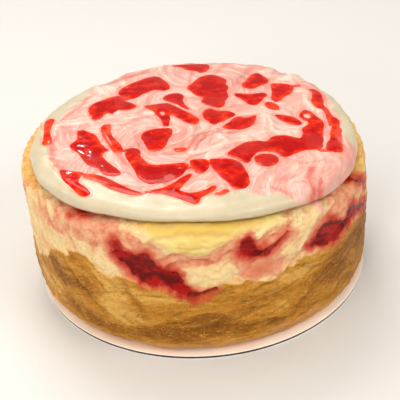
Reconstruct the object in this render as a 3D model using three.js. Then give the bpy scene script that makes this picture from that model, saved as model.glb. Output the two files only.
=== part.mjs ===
// A small round cheesecake on its cake board: a baked body with its own crust, a poured cream
// topping and spoonfuls of strawberry sauce lying on the cream.
// Millimetres, +Z up, -Y is the front. The origin is the centre of the board's underside.
import * as THREE from 'three';

// ---- Driving dimensions ----------------------------------------------------------------------

// The round cake board: two papers glued to a greyboard core.
const BOARD_RADIUS = 76;
const BASE_PAPER = 0.4;
const GREYBOARD = 1.2;
const TOP_PAPER = 0.4;
const CORE_SETBACK = 0.3;
const BOARD_SIDES = 96;
const BOARD_TOP = BASE_PAPER + GREYBOARD + TOP_PAPER;

// The baked body. Its wall leans out a little, bellies out where it is widest and stands slightly
// further out on the left.
const FOOT_RADIUS = 70.5;
const FOOT_ROLL_OUT = 3.3;
const FOOT_ROLL_UP = 2.4;
const FOOT_HEIGHT = 8.5;
const WALL_RADIUS = 77.4;
const WALL_BIAS = 0.6;
const WALL_BELLY = 1.3;
const BELLY_ARC = 0.6 * Math.PI;
const LEDGE_RADIUS = 73.4;

// Rings up the wall, as shares of its height.
const WALL_SHARES = [0, 0.2, 0.4, 0.6, 0.8, 1];

// The rounded shoulder, as [mm inside the wall, mm below the rim]. It starts where the wall ends.
const SHOULDER_DROP = 7;
const SHOULDER = [[0.6, 3.2], [1.8, 0.9]];

// The bed on top of the body follows the cream in the middle and the rim from here outwards.
const BED_MIDDLE = 44;
const BED_EDGE = 62;

// The cream: its top is a shallow crown that tips down to the right and to the back.
const CREAM_TOP = 69.5;
const CREAM_TIP_RIGHT = 0.03;
const CREAM_TIP_BACK = 0.012;
const CREAM_CROWN = 2;
const CROWN_RADIUS = 72;
const CREAM_DEPTH = 7.5;
const CREAM_ROLL = 6;
const ROLL_SHARE = 0.65;
const CREAM_TUCK = 3;

// Rings across the cream: over its rolled edge, as shares of the roll, and across the middle, as
// shares of its reach. The body's bed has the middle rings too, so the two layers lie evenly.
const ROLL_STEPS = [0, 0.13, 0.5, 1];
const BED_SHARES = [0.3, 0.6, 0.85];

// The sauce lies on the cream in thin pools.
const SAUCE_DEPTH = 1.1;
const SAUCE_STEP = 2.6;

// Air between a soft layer and the one that it lies on. The flat facets of a pool cut across the
// rolled edge of the cream, so the pools need a little more.
const GAP = 0.3;
const SAUCE_GAP = 0.5;

// Facets around the cake.
const SIDES = 72;

// Height of the body's rim, as [angle in degrees, mm]. Angle 0 points right and 90 to the back.
const RIM_HEIGHT = [
  [-180, 63.8], [-150, 62.8], [-138, 62.3], [-114, 64.7], [-93, 64.9], [-65, 62.4],
  [-38, 58.9], [-15, 58.2], [10, 60], [30, 62.2], [60, 62.8], [90, 63.4], [135, 63.8],
];

// How far the cream reaches from the middle, as [angle in degrees, mm].
const CREAM_REACH = [
  [-180, 72.2], [-165, 74], [-150, 75], [-130, 74.5], [-110, 73.8], [-90, 74.6], [-70, 74],
  [-50, 75], [-30, 74.6], [-15, 72.8], [0, 71.4], [14, 71.3], [26, 72.8], [39, 73.2],
  [46, 72.8], [58, 76.2], [70, 76], [80, 73.8], [98, 73.5], [110, 73], [118, 71.4],
  [128, 68], [134, 70.6], [140, 69.8], [160, 71],
];

// ---- The pools of sauce, seen from above, each one round its edge ------------------------------

const SAUCE_POOLS = {
  back_streak: [
    [-9, 66.3], [0, 67.4], [8, 66.6], [9.3, 62], [7, 57], [4.5, 55.6], [2.5, 58.5], [-1, 60], [-4, 63.5],
  ],
  back_left_lobe: [
    [-22, 51.5], [-17, 53], [-14, 49], [-11.3, 43], [-10.8, 38], [-13, 35.8], [-18, 36.8], [-22, 34],
    [-25, 30], [-28.3, 27.9], [-31.3, 30.6], [-34, 33.6], [-34.3, 38], [-31, 43.5], [-26, 48],
  ],
  left_lobe: [
    [-35.4, 31.6], [-33.2, 29], [-31, 25.2], [-28, 22.5], [-26, 20], [-27.5, 17.3], [-31, 15.5],
    [-34.2, 16.8], [-36.8, 12.3], [-39, 13.8], [-41.5, 10.2], [-44.6, 8], [-46.2, 12], [-47.6, 18],
    [-46.5, 24], [-42, 28.2],
  ],
  back_centre: [
    [9.5, 52.3], [13.5, 50], [17, 44.5], [16, 41], [17.3, 36.5], [16.2, 31], [16.5, 26], [14.5, 20.5],
    [13.8, 15.8], [10.7, 14.2], [7.5, 16.8], [4.2, 21.2], [5.5, 25], [1.8, 29.5], [-0.5, 34],
    [-1.8, 37.5], [0.5, 42], [2.5, 46], [5.5, 50.5],
  ],
  back_right_drop: [
    [32.5, 53], [35.5, 48], [36.8, 43], [34.5, 39], [31, 36.5], [28, 33.3], [25, 35.5], [24.3, 39.5],
    [26.5, 44], [29, 49.5],
  ],
  right_blade: [
    [20.5, 28.8], [27, 27.8], [34.5, 28.6], [33.5, 24.5], [31, 19.5], [28.8, 16.2], [26.5, 16.5],
    [24.5, 20], [22.5, 23.5], [20.6, 25.5],
  ],
  right_leaf: [
    [38.6, 39.3], [43, 39.7], [47, 38.8], [48, 34.5], [46, 28.5], [42.5, 24.4], [40.2, 20.6],
    [38.4, 19.2], [36.8, 21.6], [37.6, 27], [38, 33],
  ],
  right_small_drop: [
    [34.6, 18.6], [37, 17.2], [38.6, 14], [38.4, 10.2], [36.5, 10.2], [34, 12.8], [33.2, 16],
  ],
  right_rim_streak: [
    [50, 38.5], [53, 38.4], [56.5, 35], [60, 28], [60.5, 21], [59.5, 15], [58.8, 9.5], [57, 10.5],
    [54.6, 18], [55.5, 24], [56, 29], [54, 33], [51, 36.5],
  ],
  right_rim_hook: [
    [60, 5], [62, 3], [64.2, -1], [62.5, -7], [61, -13], [60.6, -17], [61.3, -23], [61.4, -29],
    [57, -28.8], [55.3, -27], [56.3, -22], [58, -18], [58.8, -13], [60.2, -8], [60.8, -4], [60, 0],
  ],
  right_front_pool: [
    [56.8, -1.5], [56.3, -8], [55.3, -14], [54.6, -19.5], [52.5, -26.3], [48, -26.8], [44, -28.3],
    [40, -31.3], [36.6, -33.2], [33.9, -29.4], [30, -27.8], [25.8, -28.8], [22.6, -33.2], [21.2, -37],
    [18.5, -35.3], [15.5, -32.3], [13.3, -30.6], [14, -28], [17.5, -23.8], [22, -20], [26.5, -19.2],
    [30.5, -19.5], [33, -16.2], [37, -14.6], [41, -15.4], [45, -17.5], [47, -14], [47.2, -9],
    [50, -5.2], [51, -1.8], [49, 0], [47.6, 2.6], [48.3, 6.8], [50.3, 9.6], [52.6, 8], [54.2, 4.2],
    [56, 0.5],
  ],
  round_drop: [
    [33.7, -34.9], [32.2, -31.4], [28.6, -30.2], [25.3, -31.5], [24.2, -35], [25.4, -38.5],
    [28.8, -40], [32.2, -38.4],
  ],
  front_square_drop: [
    [-2, -33.5], [1.5, -33], [4.4, -33.4], [4.8, -37], [4.4, -41], [2.5, -43.5], [0.5, -44],
    [-1.5, -41], [-2.2, -37],
  ],
  front_pool: [
    [5.9, -33.4], [10, -33.2], [15.3, -34.2], [17.8, -37.2], [19.2, -42], [20.3, -47.5], [20.2, -53],
    [17, -56.6], [13.5, -55.5], [11, -51], [8.5, -46], [6.4, -40],
  ],
  middle_drop: [
    [-18.5, -4.9], [-13, -4.4], [-10.3, -5], [-9.8, -8], [-10.5, -12], [-12.5, -18], [-14, -23],
    [-16.8, -24.8], [-19.5, -23.2], [-21, -18.5], [-22.8, -13], [-22.6, -8.5],
  ],
  middle_hook: [
    [-21.8, 19], [-17, 20], [-12.5, 21], [-8.5, 17.3], [-4.5, 12.3], [-0.5, 7.5], [2, 3], [1.8, -0.5],
    [-0.3, -2], [-3, 0.5], [-6.5, 5], [-10.2, 8.2], [-11, 3], [-11.6, -2.8], [-13, -2.8], [-14.2, 3],
    [-16, 8.5], [-18.5, 14],
  ],
  middle_comma: [
    [-13.3, 25.5], [-12, 29.5], [-8.5, 31.5], [-5.3, 30.3], [-4.4, 27], [-4.7, 22.5], [-3.6, 17.5],
    [-1.8, 13.3], [-4.5, 16], [-7, 19.8], [-10.5, 22.4],
  ],
  centre_drop: [
    [5.2, 11], [8, 13.6], [10.3, 11], [14.5, 10.2], [17.5, 8.5], [18.3, 5.7], [15, 2.7], [12, -0.3],
    [8.5, -2.5], [6.8, -0.5], [5, 4.5], [4.6, 8],
  ],
  centre_right_pool: [
    [20.7, 4.2], [24, 3], [28, 4.8], [27, 0.5], [25.5, -4], [22, -7.8], [18.5, -8.2], [13.5, -7.2],
    [13, -4.7], [15.7, -1.2], [17.7, 2.3],
  ],
  small_leaf: [
    [36.3, 5], [40, 4.6], [44.3, 2.5], [47, -2.3], [46.4, -4.8], [43.5, -4.3], [40, -1.8], [37.7, 1.8],
  ],
  left_front_ribbon: [
    [-51.2, -2], [-49.3, -1.3], [-46.5, -4], [-43.5, -7], [-41.8, -12], [-39.5, -17.5],
    [-37.3, -21.5], [-39.6, -24.3], [-38.8, -28.5], [-36, -33], [-33, -37.5], [-31.5, -41.5],
    [-36.3, -42.1], [-39, -39.3], [-40.5, -36], [-44.5, -32.5], [-47.5, -27], [-49.5, -22],
    [-52.6, -18], [-53.5, -14.5], [-51, -10], [-51, -5.5],
  ],
  left_front_sliver: [
    [-40.7, 0], [-39, 3], [-37.2, 1.5], [-37.1, -4], [-35.5, -10], [-33, -15.5], [-31.2, -20.5],
    [-31.1, -24.3], [-33.5, -24.3], [-36, -19.5], [-38.3, -13], [-40.3, -6],
  ],
  front_left_pool: [
    [-29.6, -22.2], [-27, -20.9], [-24.3, -22.3], [-23.5, -27.5], [-21.5, -32.5], [-18.5, -35.8],
    [-12, -36], [-5, -35.7], [-3.5, -37.5], [-5.4, -43], [-9, -47.6], [-14.5, -49.9], [-20, -49.6],
    [-23.5, -45], [-25.5, -38.5], [-28, -31.5], [-29.6, -26.4],
  ],
  left_rim_streak: [
    [-66.8, 10.5], [-65.3, 13.3], [-63.3, 11.5], [-63.4, 5], [-63.8, -1], [-63, -7], [-62.7, -11.5],
    [-65.6, -12.5], [-66, -7], [-66.4, -1], [-66.9, 5],
  ],
  left_front_edge_drop: [
    [-56.3, -35], [-52, -36.8], [-48.4, -38.4], [-48, -41], [-48.4, -45.5], [-45.8, -49], [-43.8, -52.6],
    [-43.4, -55.2], [-46, -54.4], [-49.2, -50.8], [-52.3, -46.2], [-55.3, -40.5],
  ],
  front_left_ribbon: [
    [-46.2, -40.2], [-43, -40.3], [-39.5, -42], [-36.5, -44.4], [-33, -48.2], [-29, -51.7],
    [-25.5, -54.7], [-22, -56.9], [-24.7, -57.8], [-29, -56], [-34, -52.7], [-38, -48.8],
    [-42, -44.9], [-45.4, -42.8],
  ],
  front_edge_ribbon: [
    [-2.6, -44.2], [-3.6, -47.5], [-6, -52], [-7.3, -56.2], [-4, -58.2], [0, -58], [4, -55.8],
    [7, -53.2], [6.3, -56.5], [3.5, -59.5], [0.8, -62], [-1, -66.4], [-4.5, -64], [-8.5, -61],
    [-13, -58.5], [-17.6, -57.2], [-19.2, -55.8], [-14, -53.7], [-9.8, -50.6], [-6, -46.6],
  ],
  front_thin_film: [
    [6.3, -59.7], [9, -58.5], [11, -56.5], [12.3, -58], [9.5, -60.3], [7, -60.9],
  ],
  middle_dash: [
    [-9, -23.6], [-6.5, -23], [-3.2, -23.4], [-5, -25.2], [-7.3, -26.3],
  ],
};

// Two pools close round a spot of bare cream.
const SAUCE_HOLES = {
  right_front_pool: [[50.9, 6.4], [49.3, 4.6], [49.3, 2.4], [50.9, 1], [52.4, 2.4], [52.4, 4.6]],
  middle_hook: [[-15.4, 11.8], [-14.9, 9.4], [-13.9, 7.4], [-13, 8.8], [-12.6, 10.8], [-14, 12]],
};

// ---- Helpers -----------------------------------------------------------------------------------

function smoothstep(low, high, value) {
  const t = THREE.MathUtils.clamp((value - low) / (high - low), 0, 1);
  return t * t * (3 - 2 * t);
}

// A smooth value all round the cake from its stations, at any angle.
function around(stations, degrees) {
  const turned = THREE.MathUtils.euclideanModulo(degrees + 180, 360) - 180;
  const closed = [...stations, [stations[0][0] + 360, stations[0][1]]];
  const next = closed.findIndex(([angle]) => angle > turned);
  const [angleA, valueA] = closed[next - 1];
  const [angleB, valueB] = closed[next];
  return valueA + (valueB - valueA) * smoothstep(angleA, angleB, turned);
}

function degreesAt(x, y) {
  return THREE.MathUtils.radToDeg(Math.atan2(y, x));
}

function crownHeight(x, y) {
  const spread = (x * x + y * y) / (CROWN_RADIUS * CROWN_RADIUS);
  return CREAM_TOP - CREAM_TIP_RIGHT * x - CREAM_TIP_BACK * y + CREAM_CROWN * (1 - spread);
}

// Top of the body, which is the bed that the cream lies on.
function bedHeight(x, y) {
  const rim = around(RIM_HEIGHT, degreesAt(x, y));
  const toRim = smoothstep(BED_MIDDLE, BED_EDGE, Math.hypot(x, y));
  return rim * toRim + (crownHeight(x, y) - CREAM_DEPTH) * (1 - toRim);
}

// Top of the cream, crowned in the middle and rolled over like a quarter ellipse at its edge.
function creamHeight(x, y) {
  const degrees = degreesAt(x, y);
  const reach = around(CREAM_REACH, degrees);
  const crown = crownHeight(x, y);
  const roll = THREE.MathUtils.clamp((Math.hypot(x, y) - reach + CREAM_ROLL) / CREAM_ROLL, 0, 1);
  const drop = ROLL_SHARE * (crown - around(RIM_HEIGHT, degrees));
  return crown - drop * (1 - Math.sqrt(1 - roll * roll));
}

// The two triangles of a four-cornered facet, split along its shorter diagonal. Two layers that lie
// on each other are then split the same way, and stay an even distance apart.
function splitFacet(positions, a, b, c, d) {
  const corner = (i) => new THREE.Vector3().fromArray(positions, 3 * i);
  if (corner(a).distanceTo(corner(c)) <= corner(b).distanceTo(corner(d))) {
    return [a, b, c, a, c, d];
  }
  return [a, b, d, b, c, d];
}

// A closed skin from rings that all have SIDES points, with a point at each end.
function ringedSolid(bottomHeight, rings, topHeight) {
  const positions = [0, 0, bottomHeight];
  for (const ring of rings) {
    for (let side = 0; side < SIDES; side += 1) {
      const angle = (side / SIDES) * 2 * Math.PI;
      const [radius, height] = ring(angle);
      positions.push(radius * Math.cos(angle), radius * Math.sin(angle), height);
    }
  }
  positions.push(0, 0, topHeight);
  const last = positions.length / 3 - 1;
  const at = (ring, side) => 1 + ring * SIDES + (side % SIDES);
  const faces = [];
  for (let side = 0; side < SIDES; side += 1) {
    faces.push(0, at(0, side + 1), at(0, side));
    for (let ring = 0; ring < rings.length - 1; ring += 1) {
      const corners = [at(ring, side), at(ring, side + 1), at(ring + 1, side + 1), at(ring + 1, side)];
      faces.push(...splitFacet(positions, ...corners));
    }
    faces.push(last, at(rings.length - 1, side), at(rings.length - 1, side + 1));
  }
  const geometry = new THREE.BufferGeometry();
  geometry.setAttribute('position', new THREE.Float32BufferAttribute(positions, 3));
  geometry.setIndex(faces);
  geometry.computeVertexNormals();
  return geometry;
}

const cheesecake = new THREE.Group();

function add(name, geometry, material) {
  const mesh = new THREE.Mesh(geometry, material);
  mesh.name = name;
  cheesecake.add(mesh);
}

// ---- The cake board ----------------------------------------------------------------------------

// A ply of the board as a lathed disc between two heights.
function boardPly(radius, bottom, top) {
  const profile = [[0, bottom], [radius, bottom], [radius, top], [0, top]];
  const disc = new THREE.LatheGeometry(profile.map(([r, z]) => new THREE.Vector2(r, z)), BOARD_SIDES);
  return disc.rotateX(Math.PI / 2);
}

const whitePaper = new THREE.MeshStandardMaterial({ color: 0xf0ece4, roughness: 0.5, metalness: 0 });
const greyboard = new THREE.MeshStandardMaterial({ color: 0x5c5148, roughness: 0.9, metalness: 0 });
const pinkPaper = new THREE.MeshStandardMaterial({ color: 0xf6cdbb, roughness: 0.35, metalness: 0 });

add('board_base_paper', boardPly(BOARD_RADIUS, 0, BASE_PAPER), whitePaper);
add(
  'board_core',
  boardPly(BOARD_RADIUS - CORE_SETBACK, BASE_PAPER, BASE_PAPER + GREYBOARD),
  greyboard,
);
add('board_top_paper', boardPly(BOARD_RADIUS, BASE_PAPER + GREYBOARD, BOARD_TOP), pinkPaper);

// ---- Rings that the body and the cream share, so that one lies evenly on the other --------------

function reachAt(angle) {
  return around(CREAM_REACH, THREE.MathUtils.radToDeg(angle));
}

// A ring that keeps to a layer's height, lifted clear of it.
function layerRing(radiusAt, heightAt, lift) {
  return (angle) => {
    const radius = radiusAt(angle);
    return [radius, heightAt(radius * Math.cos(angle), radius * Math.sin(angle)) + lift];
  };
}

const bedRadii = [
  ...BED_SHARES.map((share) => (angle) => share * reachAt(angle)),
  (angle) => reachAt(angle) - CREAM_TUCK,
];

// ---- The baked body ----------------------------------------------------------------------------

function rimAt(angle) {
  return around(RIM_HEIGHT, THREE.MathUtils.radToDeg(angle));
}

function wallRadius(angle, share) {
  const belly = WALL_BELLY * (Math.sin(share * BELLY_ARC) - 1);
  return WALL_RADIUS + belly - WALL_BIAS * Math.cos(angle);
}

const bodyRings = [
  () => [FOOT_RADIUS, BOARD_TOP],
  () => [FOOT_RADIUS + FOOT_ROLL_OUT, BOARD_TOP + FOOT_ROLL_UP],
  ...WALL_SHARES.map((share) => (angle) => {
    const wallTop = rimAt(angle) - SHOULDER_DROP;
    return [wallRadius(angle, share), THREE.MathUtils.lerp(FOOT_HEIGHT, wallTop, share)];
  }),
  ...SHOULDER.map(([inside, below]) => (angle) => [wallRadius(angle, 1) - inside, rimAt(angle) - below]),
  (angle) => [LEDGE_RADIUS, rimAt(angle)],
  ...bedRadii.toReversed().map((radiusAt) => layerRing(radiusAt, bedHeight, 0)),
];

const baked = new THREE.MeshStandardMaterial({ color: 0xc98a3a, roughness: 0.65, metalness: 0 });
add('baked_cheesecake', ringedSolid(BOARD_TOP, bodyRings, bedHeight(0, 0)), baked);

// ---- The cream topping -------------------------------------------------------------------------

const creamRadii = [
  ...ROLL_STEPS.map((step) => (angle) => reachAt(angle) - step * CREAM_ROLL),
  ...BED_SHARES.toReversed().map((share) => (angle) => share * reachAt(angle)),
];
const creamRings = [
  ...bedRadii.map((radiusAt) => layerRing(radiusAt, bedHeight, GAP)),
  ...creamRadii.map((radiusAt) => layerRing(radiusAt, creamHeight, 0)),
];

const cream = new THREE.MeshStandardMaterial({ color: 0xfaf0dc, roughness: 0.4, metalness: 0 });
add('cream_topping', ringedSolid(bedHeight(0, 0) + GAP, creamRings, creamHeight(0, 0)), cream);

// ---- The strawberry sauce ----------------------------------------------------------------------

function smoothLoop(outline) {
  const points = outline.map(([x, y]) => new THREE.Vector3(x, y, 0));
  const curve = new THREE.CatmullRomCurve3(points, true, 'centripetal');
  const steps = Math.max(outline.length, Math.round(curve.getLength() / SAUCE_STEP));
  return curve.getSpacedPoints(steps).slice(0, -1).map(({ x, y }) => new THREE.Vector2(x, y));
}

// A pool is its outline given a depth, then laid over the cream.
function saucePool(outline, hole) {
  const shape = new THREE.Shape(smoothLoop(outline));
  if (hole) {
    shape.holes.push(new THREE.Path(smoothLoop(hole)));
  }
  const geometry = new THREE.ExtrudeGeometry(shape, { depth: SAUCE_DEPTH, bevelEnabled: false });
  const position = geometry.getAttribute('position');
  for (let i = 0; i < position.count; i += 1) {
    const bed = creamHeight(position.getX(i), position.getY(i)) + SAUCE_GAP;
    position.setZ(i, position.getZ(i) + bed);
  }
  geometry.computeVertexNormals();
  return geometry;
}

const sauce = new THREE.MeshStandardMaterial({ color: 0xd8202a, roughness: 0.12, metalness: 0 });
for (const [place, outline] of Object.entries(SAUCE_POOLS)) {
  add(`sauce_${place}`, saucePool(outline, SAUCE_HOLES[place]), sauce);
}

export default cheesecake;
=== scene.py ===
# %% [markdown]
# # A small strawberry cheesecake on its cake board
#
# The real thing is a six-inch baked cheesecake. Its sides were peeled out of the baking paper, so
# they show browned crust below and torn pale crumb above, with a lens of yellow custard, pink
# swirls and whole dark berries in it. Cream was poured over the top, and strawberry sauce was
# dropped on the cream and pulled through it with a spoon.
#
# The CAD model holds the plain solids. This lesson builds the looks on them: first some tools for
# shapes, then the board, the baked body, the cream and the pools of sauce, and last their finishes.

import math
from types import SimpleNamespace

import bmesh
import bpy
import numpy as np
from mathutils import Matrix, Vector
from mathutils.bvhtree import BVHTree


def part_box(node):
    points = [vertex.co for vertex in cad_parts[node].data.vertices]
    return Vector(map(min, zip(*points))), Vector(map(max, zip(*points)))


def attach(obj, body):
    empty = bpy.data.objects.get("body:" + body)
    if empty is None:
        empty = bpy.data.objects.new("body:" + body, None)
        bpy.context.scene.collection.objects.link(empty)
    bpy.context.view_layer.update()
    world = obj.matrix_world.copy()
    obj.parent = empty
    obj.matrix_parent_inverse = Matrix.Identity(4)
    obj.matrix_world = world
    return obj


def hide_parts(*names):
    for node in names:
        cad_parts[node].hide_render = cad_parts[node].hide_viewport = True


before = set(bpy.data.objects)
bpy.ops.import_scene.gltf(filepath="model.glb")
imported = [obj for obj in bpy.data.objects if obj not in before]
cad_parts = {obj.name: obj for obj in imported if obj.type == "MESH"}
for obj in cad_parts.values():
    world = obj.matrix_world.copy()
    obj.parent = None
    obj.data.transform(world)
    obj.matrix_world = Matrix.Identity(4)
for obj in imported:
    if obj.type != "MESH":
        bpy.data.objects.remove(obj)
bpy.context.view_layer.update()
MM = 0.001
sauce_nodes = sorted(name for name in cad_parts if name.startswith("sauce_"))
print(len(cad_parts), "CAD nodes,", len(sauce_nodes), "of them pools of sauce")

# %% [markdown]
# ## Camera and light
#
# The cake is seen from the front and from about 32 degrees above the table, with the camera tilted
# a little to one side. A long lens keeps the round shape free of distortion. The light is five big
# soft sheets, one overhead and four round the cake. Most hang high, so that no wet surface mirrors
# a whole sheet. A smaller lamp in front lights the wall and the board's rim, and three very small
# ones put the sparks on the sauce.

# %% Camera
CAMERA_RISE = math.radians(32.13)
CAMERA_ROLL = math.radians(-3.88)
CAMERA_DISTANCE = 464.8 * MM
LOOK_AT = Vector((0.38, 0, 30.74)) * MM
LENS_LENGTH = 90
SENSOR_WIDTH = 36
NEAREST_SEEN = 10 * MM
FARTHEST_SEEN = 20


def put_in_scene(name, data):
    thing = bpy.data.objects.new(name, data)
    bpy.context.scene.collection.objects.link(thing)
    return thing


camera_data = bpy.data.cameras.new("camera")
camera_data.lens = LENS_LENGTH
camera_data.sensor_width = SENSOR_WIDTH
camera_data.clip_start = NEAREST_SEEN
camera_data.clip_end = FARTHEST_SEEN
camera = put_in_scene("camera", camera_data)
back = Vector((0, -math.cos(CAMERA_RISE), math.sin(CAMERA_RISE)))
level = Vector((1, 0, 0))
upright = back.cross(level)
right = math.cos(CAMERA_ROLL) * level + math.sin(CAMERA_ROLL) * upright
up = math.cos(CAMERA_ROLL) * upright - math.sin(CAMERA_ROLL) * level
camera.matrix_world = Matrix.Translation(LOOK_AT + back * CAMERA_DISTANCE) @ (
    Matrix((right, up, back)).transposed().to_4x4()
)
bpy.context.scene.camera = camera
print("camera at", [round(v, 3) for v in camera.matrix_world.translation])


# %% Lights
def sheet_light(name, spot, size, watts, colour):
    """A square light that shines from a spot, in mm, towards the middle of the cake."""
    data = bpy.data.lights.new(name, "AREA")
    data.size = size * MM
    data.energy = watts
    data.color = colour
    light = put_in_scene(name, data)
    light.location = Vector(spot) * MM
    light.rotation_euler = (light.location - LOOK_AT).to_track_quat("Z", "Y").to_euler()


# Each sheet has a place in mm, a size in mm, its watts and its colour.
SHEETS = {
    "overhead_sheet": ((-60, 40, 950), 750, 2.15, (1, 0.985, 0.96)),
    "key_sheet": ((-340, -580, 860), 640, 3.2, (1, 0.975, 0.94)),
    "front_lamp": ((-300, -820, 430), 160, 2.15, (1, 0.98, 0.95)),
    "right_sheet": ((560, -420, 640), 480, 3.4, (1, 0.98, 0.95)),
    "back_sheet": ((-160, 560, 820), 480, 4.4, (1, 0.985, 0.96)),
    "left_sheet": ((-720, 130, 330), 420, 1.4, (1, 0.97, 0.93)),
}
SPARKS = [(-150, 640, 440), (250, 600, 470), (60, 330, 620)]
SPARK_SIZE = 8
SPARK_WATTS = 0.06
ROOM_COLOUR = (1, 0.96, 0.905, 1)
ROOM_STRENGTH = 0.4

for name, (spot, size, watts, colour) in SHEETS.items():
    sheet_light(name, spot, size, watts, colour)
for number, spot in enumerate(SPARKS):
    sheet_light(f"spark_lamp_{number}", spot, SPARK_SIZE, SPARK_WATTS, (1, 1, 1))
world = bpy.data.worlds.new("studio")
bpy.context.scene.world = world
world.use_nodes = True
room = world.node_tree.nodes["Background"].inputs
room["Color"].default_value = ROOM_COLOUR
room["Strength"].default_value = ROOM_STRENGTH
bpy.context.scene.view_settings.view_transform = "Standard"
print(len(bpy.data.lights), "lights")

# %% [markdown]
# ## Tools for shapes
#
# Food has no flat face and no straight edge, so its shapes come from lumps, folds and tears that
# are worked into a fine mesh. Three tools do nearly all of it. A noise gives lumps of any size. A
# soft step turns a distance into a blend. The distance to an outline or to a line says where a
# berry, a crease or a swirl is. All of them work on whole arrays of points at once.


# %% Soft steps and noise
PRIMES = (73856093, 19349663, 83492791, 7919)
STIRRERS = ((13, 1274126177), (15, 668265263))
LOW_32_BITS = 0xFFFFFFFF
LOW_16_BITS = 0xFFFF
SEED_SHIFT = 17.31
CLOUD_STEP = 2.03
CLOUD_GAIN = 1.6
FOLD_STEP = 2.1


def soft_step(low, high, value):
    share = np.clip((value - low) / (high - low), 0, 1)
    return share * share * (3 - 2 * share)


def cell_value(cell, seed):
    """A number from -1 to 1 for each cell of a lattice. The same cell always gets the same one."""
    x, y, z = cell.T
    mixed = x * PRIMES[0] ^ y * PRIMES[1] ^ z * PRIMES[2] ^ seed * PRIMES[3]
    for shift, stirrer in STIRRERS:
        mixed = (mixed ^ (mixed >> shift)) * stirrer & LOW_32_BITS
    return 2 * ((mixed >> 8) & LOW_16_BITS) / LOW_16_BITS - 1


def lumps(points, size, seed=0):
    """Smooth noise from -1 to 1 at points in mm, with lumps of about that size in mm."""
    scaled = points / np.asarray(size, float) + seed * SEED_SHIFT
    cell = np.floor(scaled).astype(np.int64)
    part = scaled - cell
    part = part * part * part * (part * (part * 6 - 15) + 10)
    total = np.zeros(len(points))
    for corner in np.ndindex(2, 2, 2):
        weight = np.prod(np.where(np.array(corner) == 1, part, 1 - part), axis=1)
        total += weight * cell_value(cell + np.array(corner), seed)
    return total


def clouds(points, size, seed=0, octaves=4, fade=0.5):
    """Lumps with smaller lumps on them, kept roughly between -1 and 1."""
    total = np.zeros(len(points))
    reach = 0
    for octave in range(octaves):
        weight = fade**octave
        total += weight * lumps(points, np.asarray(size, float) / CLOUD_STEP**octave, seed + octave)
        reach += weight
    return total * CLOUD_GAIN / reach


def folds(points, size, seed=0, octaves=3):
    """Sharp ridges with round valleys between them, from 0 to 1, as in torn crumb."""
    total = np.zeros(len(points))
    reach = 0
    for octave in range(octaves):
        weight = 0.5**octave
        finer = np.asarray(size, float) / FOLD_STEP**octave
        ridge = 1 - np.abs(lumps(points, finer, seed + octave))
        total += weight * ridge**3
        reach += weight
    return total / reach


# %% Distances to outlines and lines
FAR = 99.0


def line_distance(points, line):
    """Distance from each flat point to an open line of corners."""
    nearest = np.full(len(points), np.inf)
    for start, end in zip(line[:-1], line[1:]):
        along = end - start
        offset = points - start
        share = np.clip(offset @ along / (along @ along), 0, 1)
        nearest = np.minimum(nearest, np.hypot(*(offset - share[:, None] * along).T))
    return nearest


def outline_depth(points, outline):
    """How deep each flat point lies inside a closed outline. Outside it, the depth is negative."""
    depth = line_distance(points, np.vstack([outline, outline[:1]]))
    inside = np.zeros(len(points), bool)
    for start, end in zip(outline, np.roll(outline, -1, 0)):
        spans = (start[1] > points[:, 1]) != (end[1] > points[:, 1])
        rise = end[1] - start[1] or 1e-9
        crossing = start[0] + (points[:, 1] - start[1]) * (end[0] - start[0]) / rise
        inside ^= spans & (points[:, 0] < crossing)
    return np.where(inside, depth, -depth)


def nearby(points, corners, margin):
    """Which points lie within a margin of the corners' box."""
    low = corners.min(0) - margin
    high = corners.max(0) + margin
    return np.all((points > low) & (points < high), axis=1)


# %% [markdown]
# ## A fine skin over a CAD solid
#
# The cake's solids are round, so a fine skin for one is a flat sheet of small squares that is
# rolled into a tube and closed at both ends. The sheet's rows are the rings and its columns are the
# steps round the cake. Rays from inside the CAD solid say where each point belongs. The solid has
# flat facets, and a filter round the rings takes them out and keeps every real swelling.

# %% Skins
COLUMNS = 640
RAY_COLUMNS = 144
FIRST_RAY_TURN = 0.001
SWELLINGS_KEPT = 46
FILTER_STEEPNESS = 8


def cad_tree(node):
    """A CAD solid, ready for rays."""
    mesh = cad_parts[node].data
    corners = [vertex.co / MM for vertex in mesh.vertices]
    return BVHTree.FromPolygons(corners, [polygon.vertices for polygon in mesh.polygons])


def skin_profile(node, rays):
    """Radius and height of a CAD solid's surface, in mm, for each ray and each column.

    A ray starts inside the solid at a radius and a height and leaves at a slope in degrees.
    """
    tree = cad_tree(node)
    found = np.zeros((2, len(rays), RAY_COLUMNS))
    for column in range(RAY_COLUMNS):
        angle = 2 * math.pi * column / RAY_COLUMNS + FIRST_RAY_TURN
        out = Vector((math.cos(angle), math.sin(angle), 0))
        for row, (radius, height, slope) in enumerate(rays):
            start = out * radius + Vector((0, 0, height))
            tilt = math.radians(slope)
            run = out * math.cos(tilt) + Vector((0, 0, math.sin(tilt)))
            hit = tree.ray_cast(start, run)[0]
            found[:, row, column] = math.hypot(hit.x, hit.y), hit.z
    waves = np.fft.rfft(found, axis=2)
    waves /= 1 + (np.arange(waves.shape[2]) / SWELLINGS_KEPT) ** FILTER_STEEPNESS
    return np.fft.irfft(waves, COLUMNS, axis=2) * COLUMNS / RAY_COLUMNS


def eased(profile, first, last, passes):
    """A profile whose rings between two rows are eased towards their neighbours."""
    for _ in range(passes):
        middle = (profile[:, first - 1 : last - 1] + profile[:, first + 1 : last + 1]) / 2
        profile[:, first:last] = (profile[:, first:last] + middle) / 2
    return profile


def ring_points(profile):
    """A grid of points in mm from a profile of radii and heights."""
    angles = 2 * np.pi * np.arange(COLUMNS) / COLUMNS
    radius, height = profile
    return np.stack([radius * np.cos(angles), radius * np.sin(angles), height], axis=2)


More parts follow.
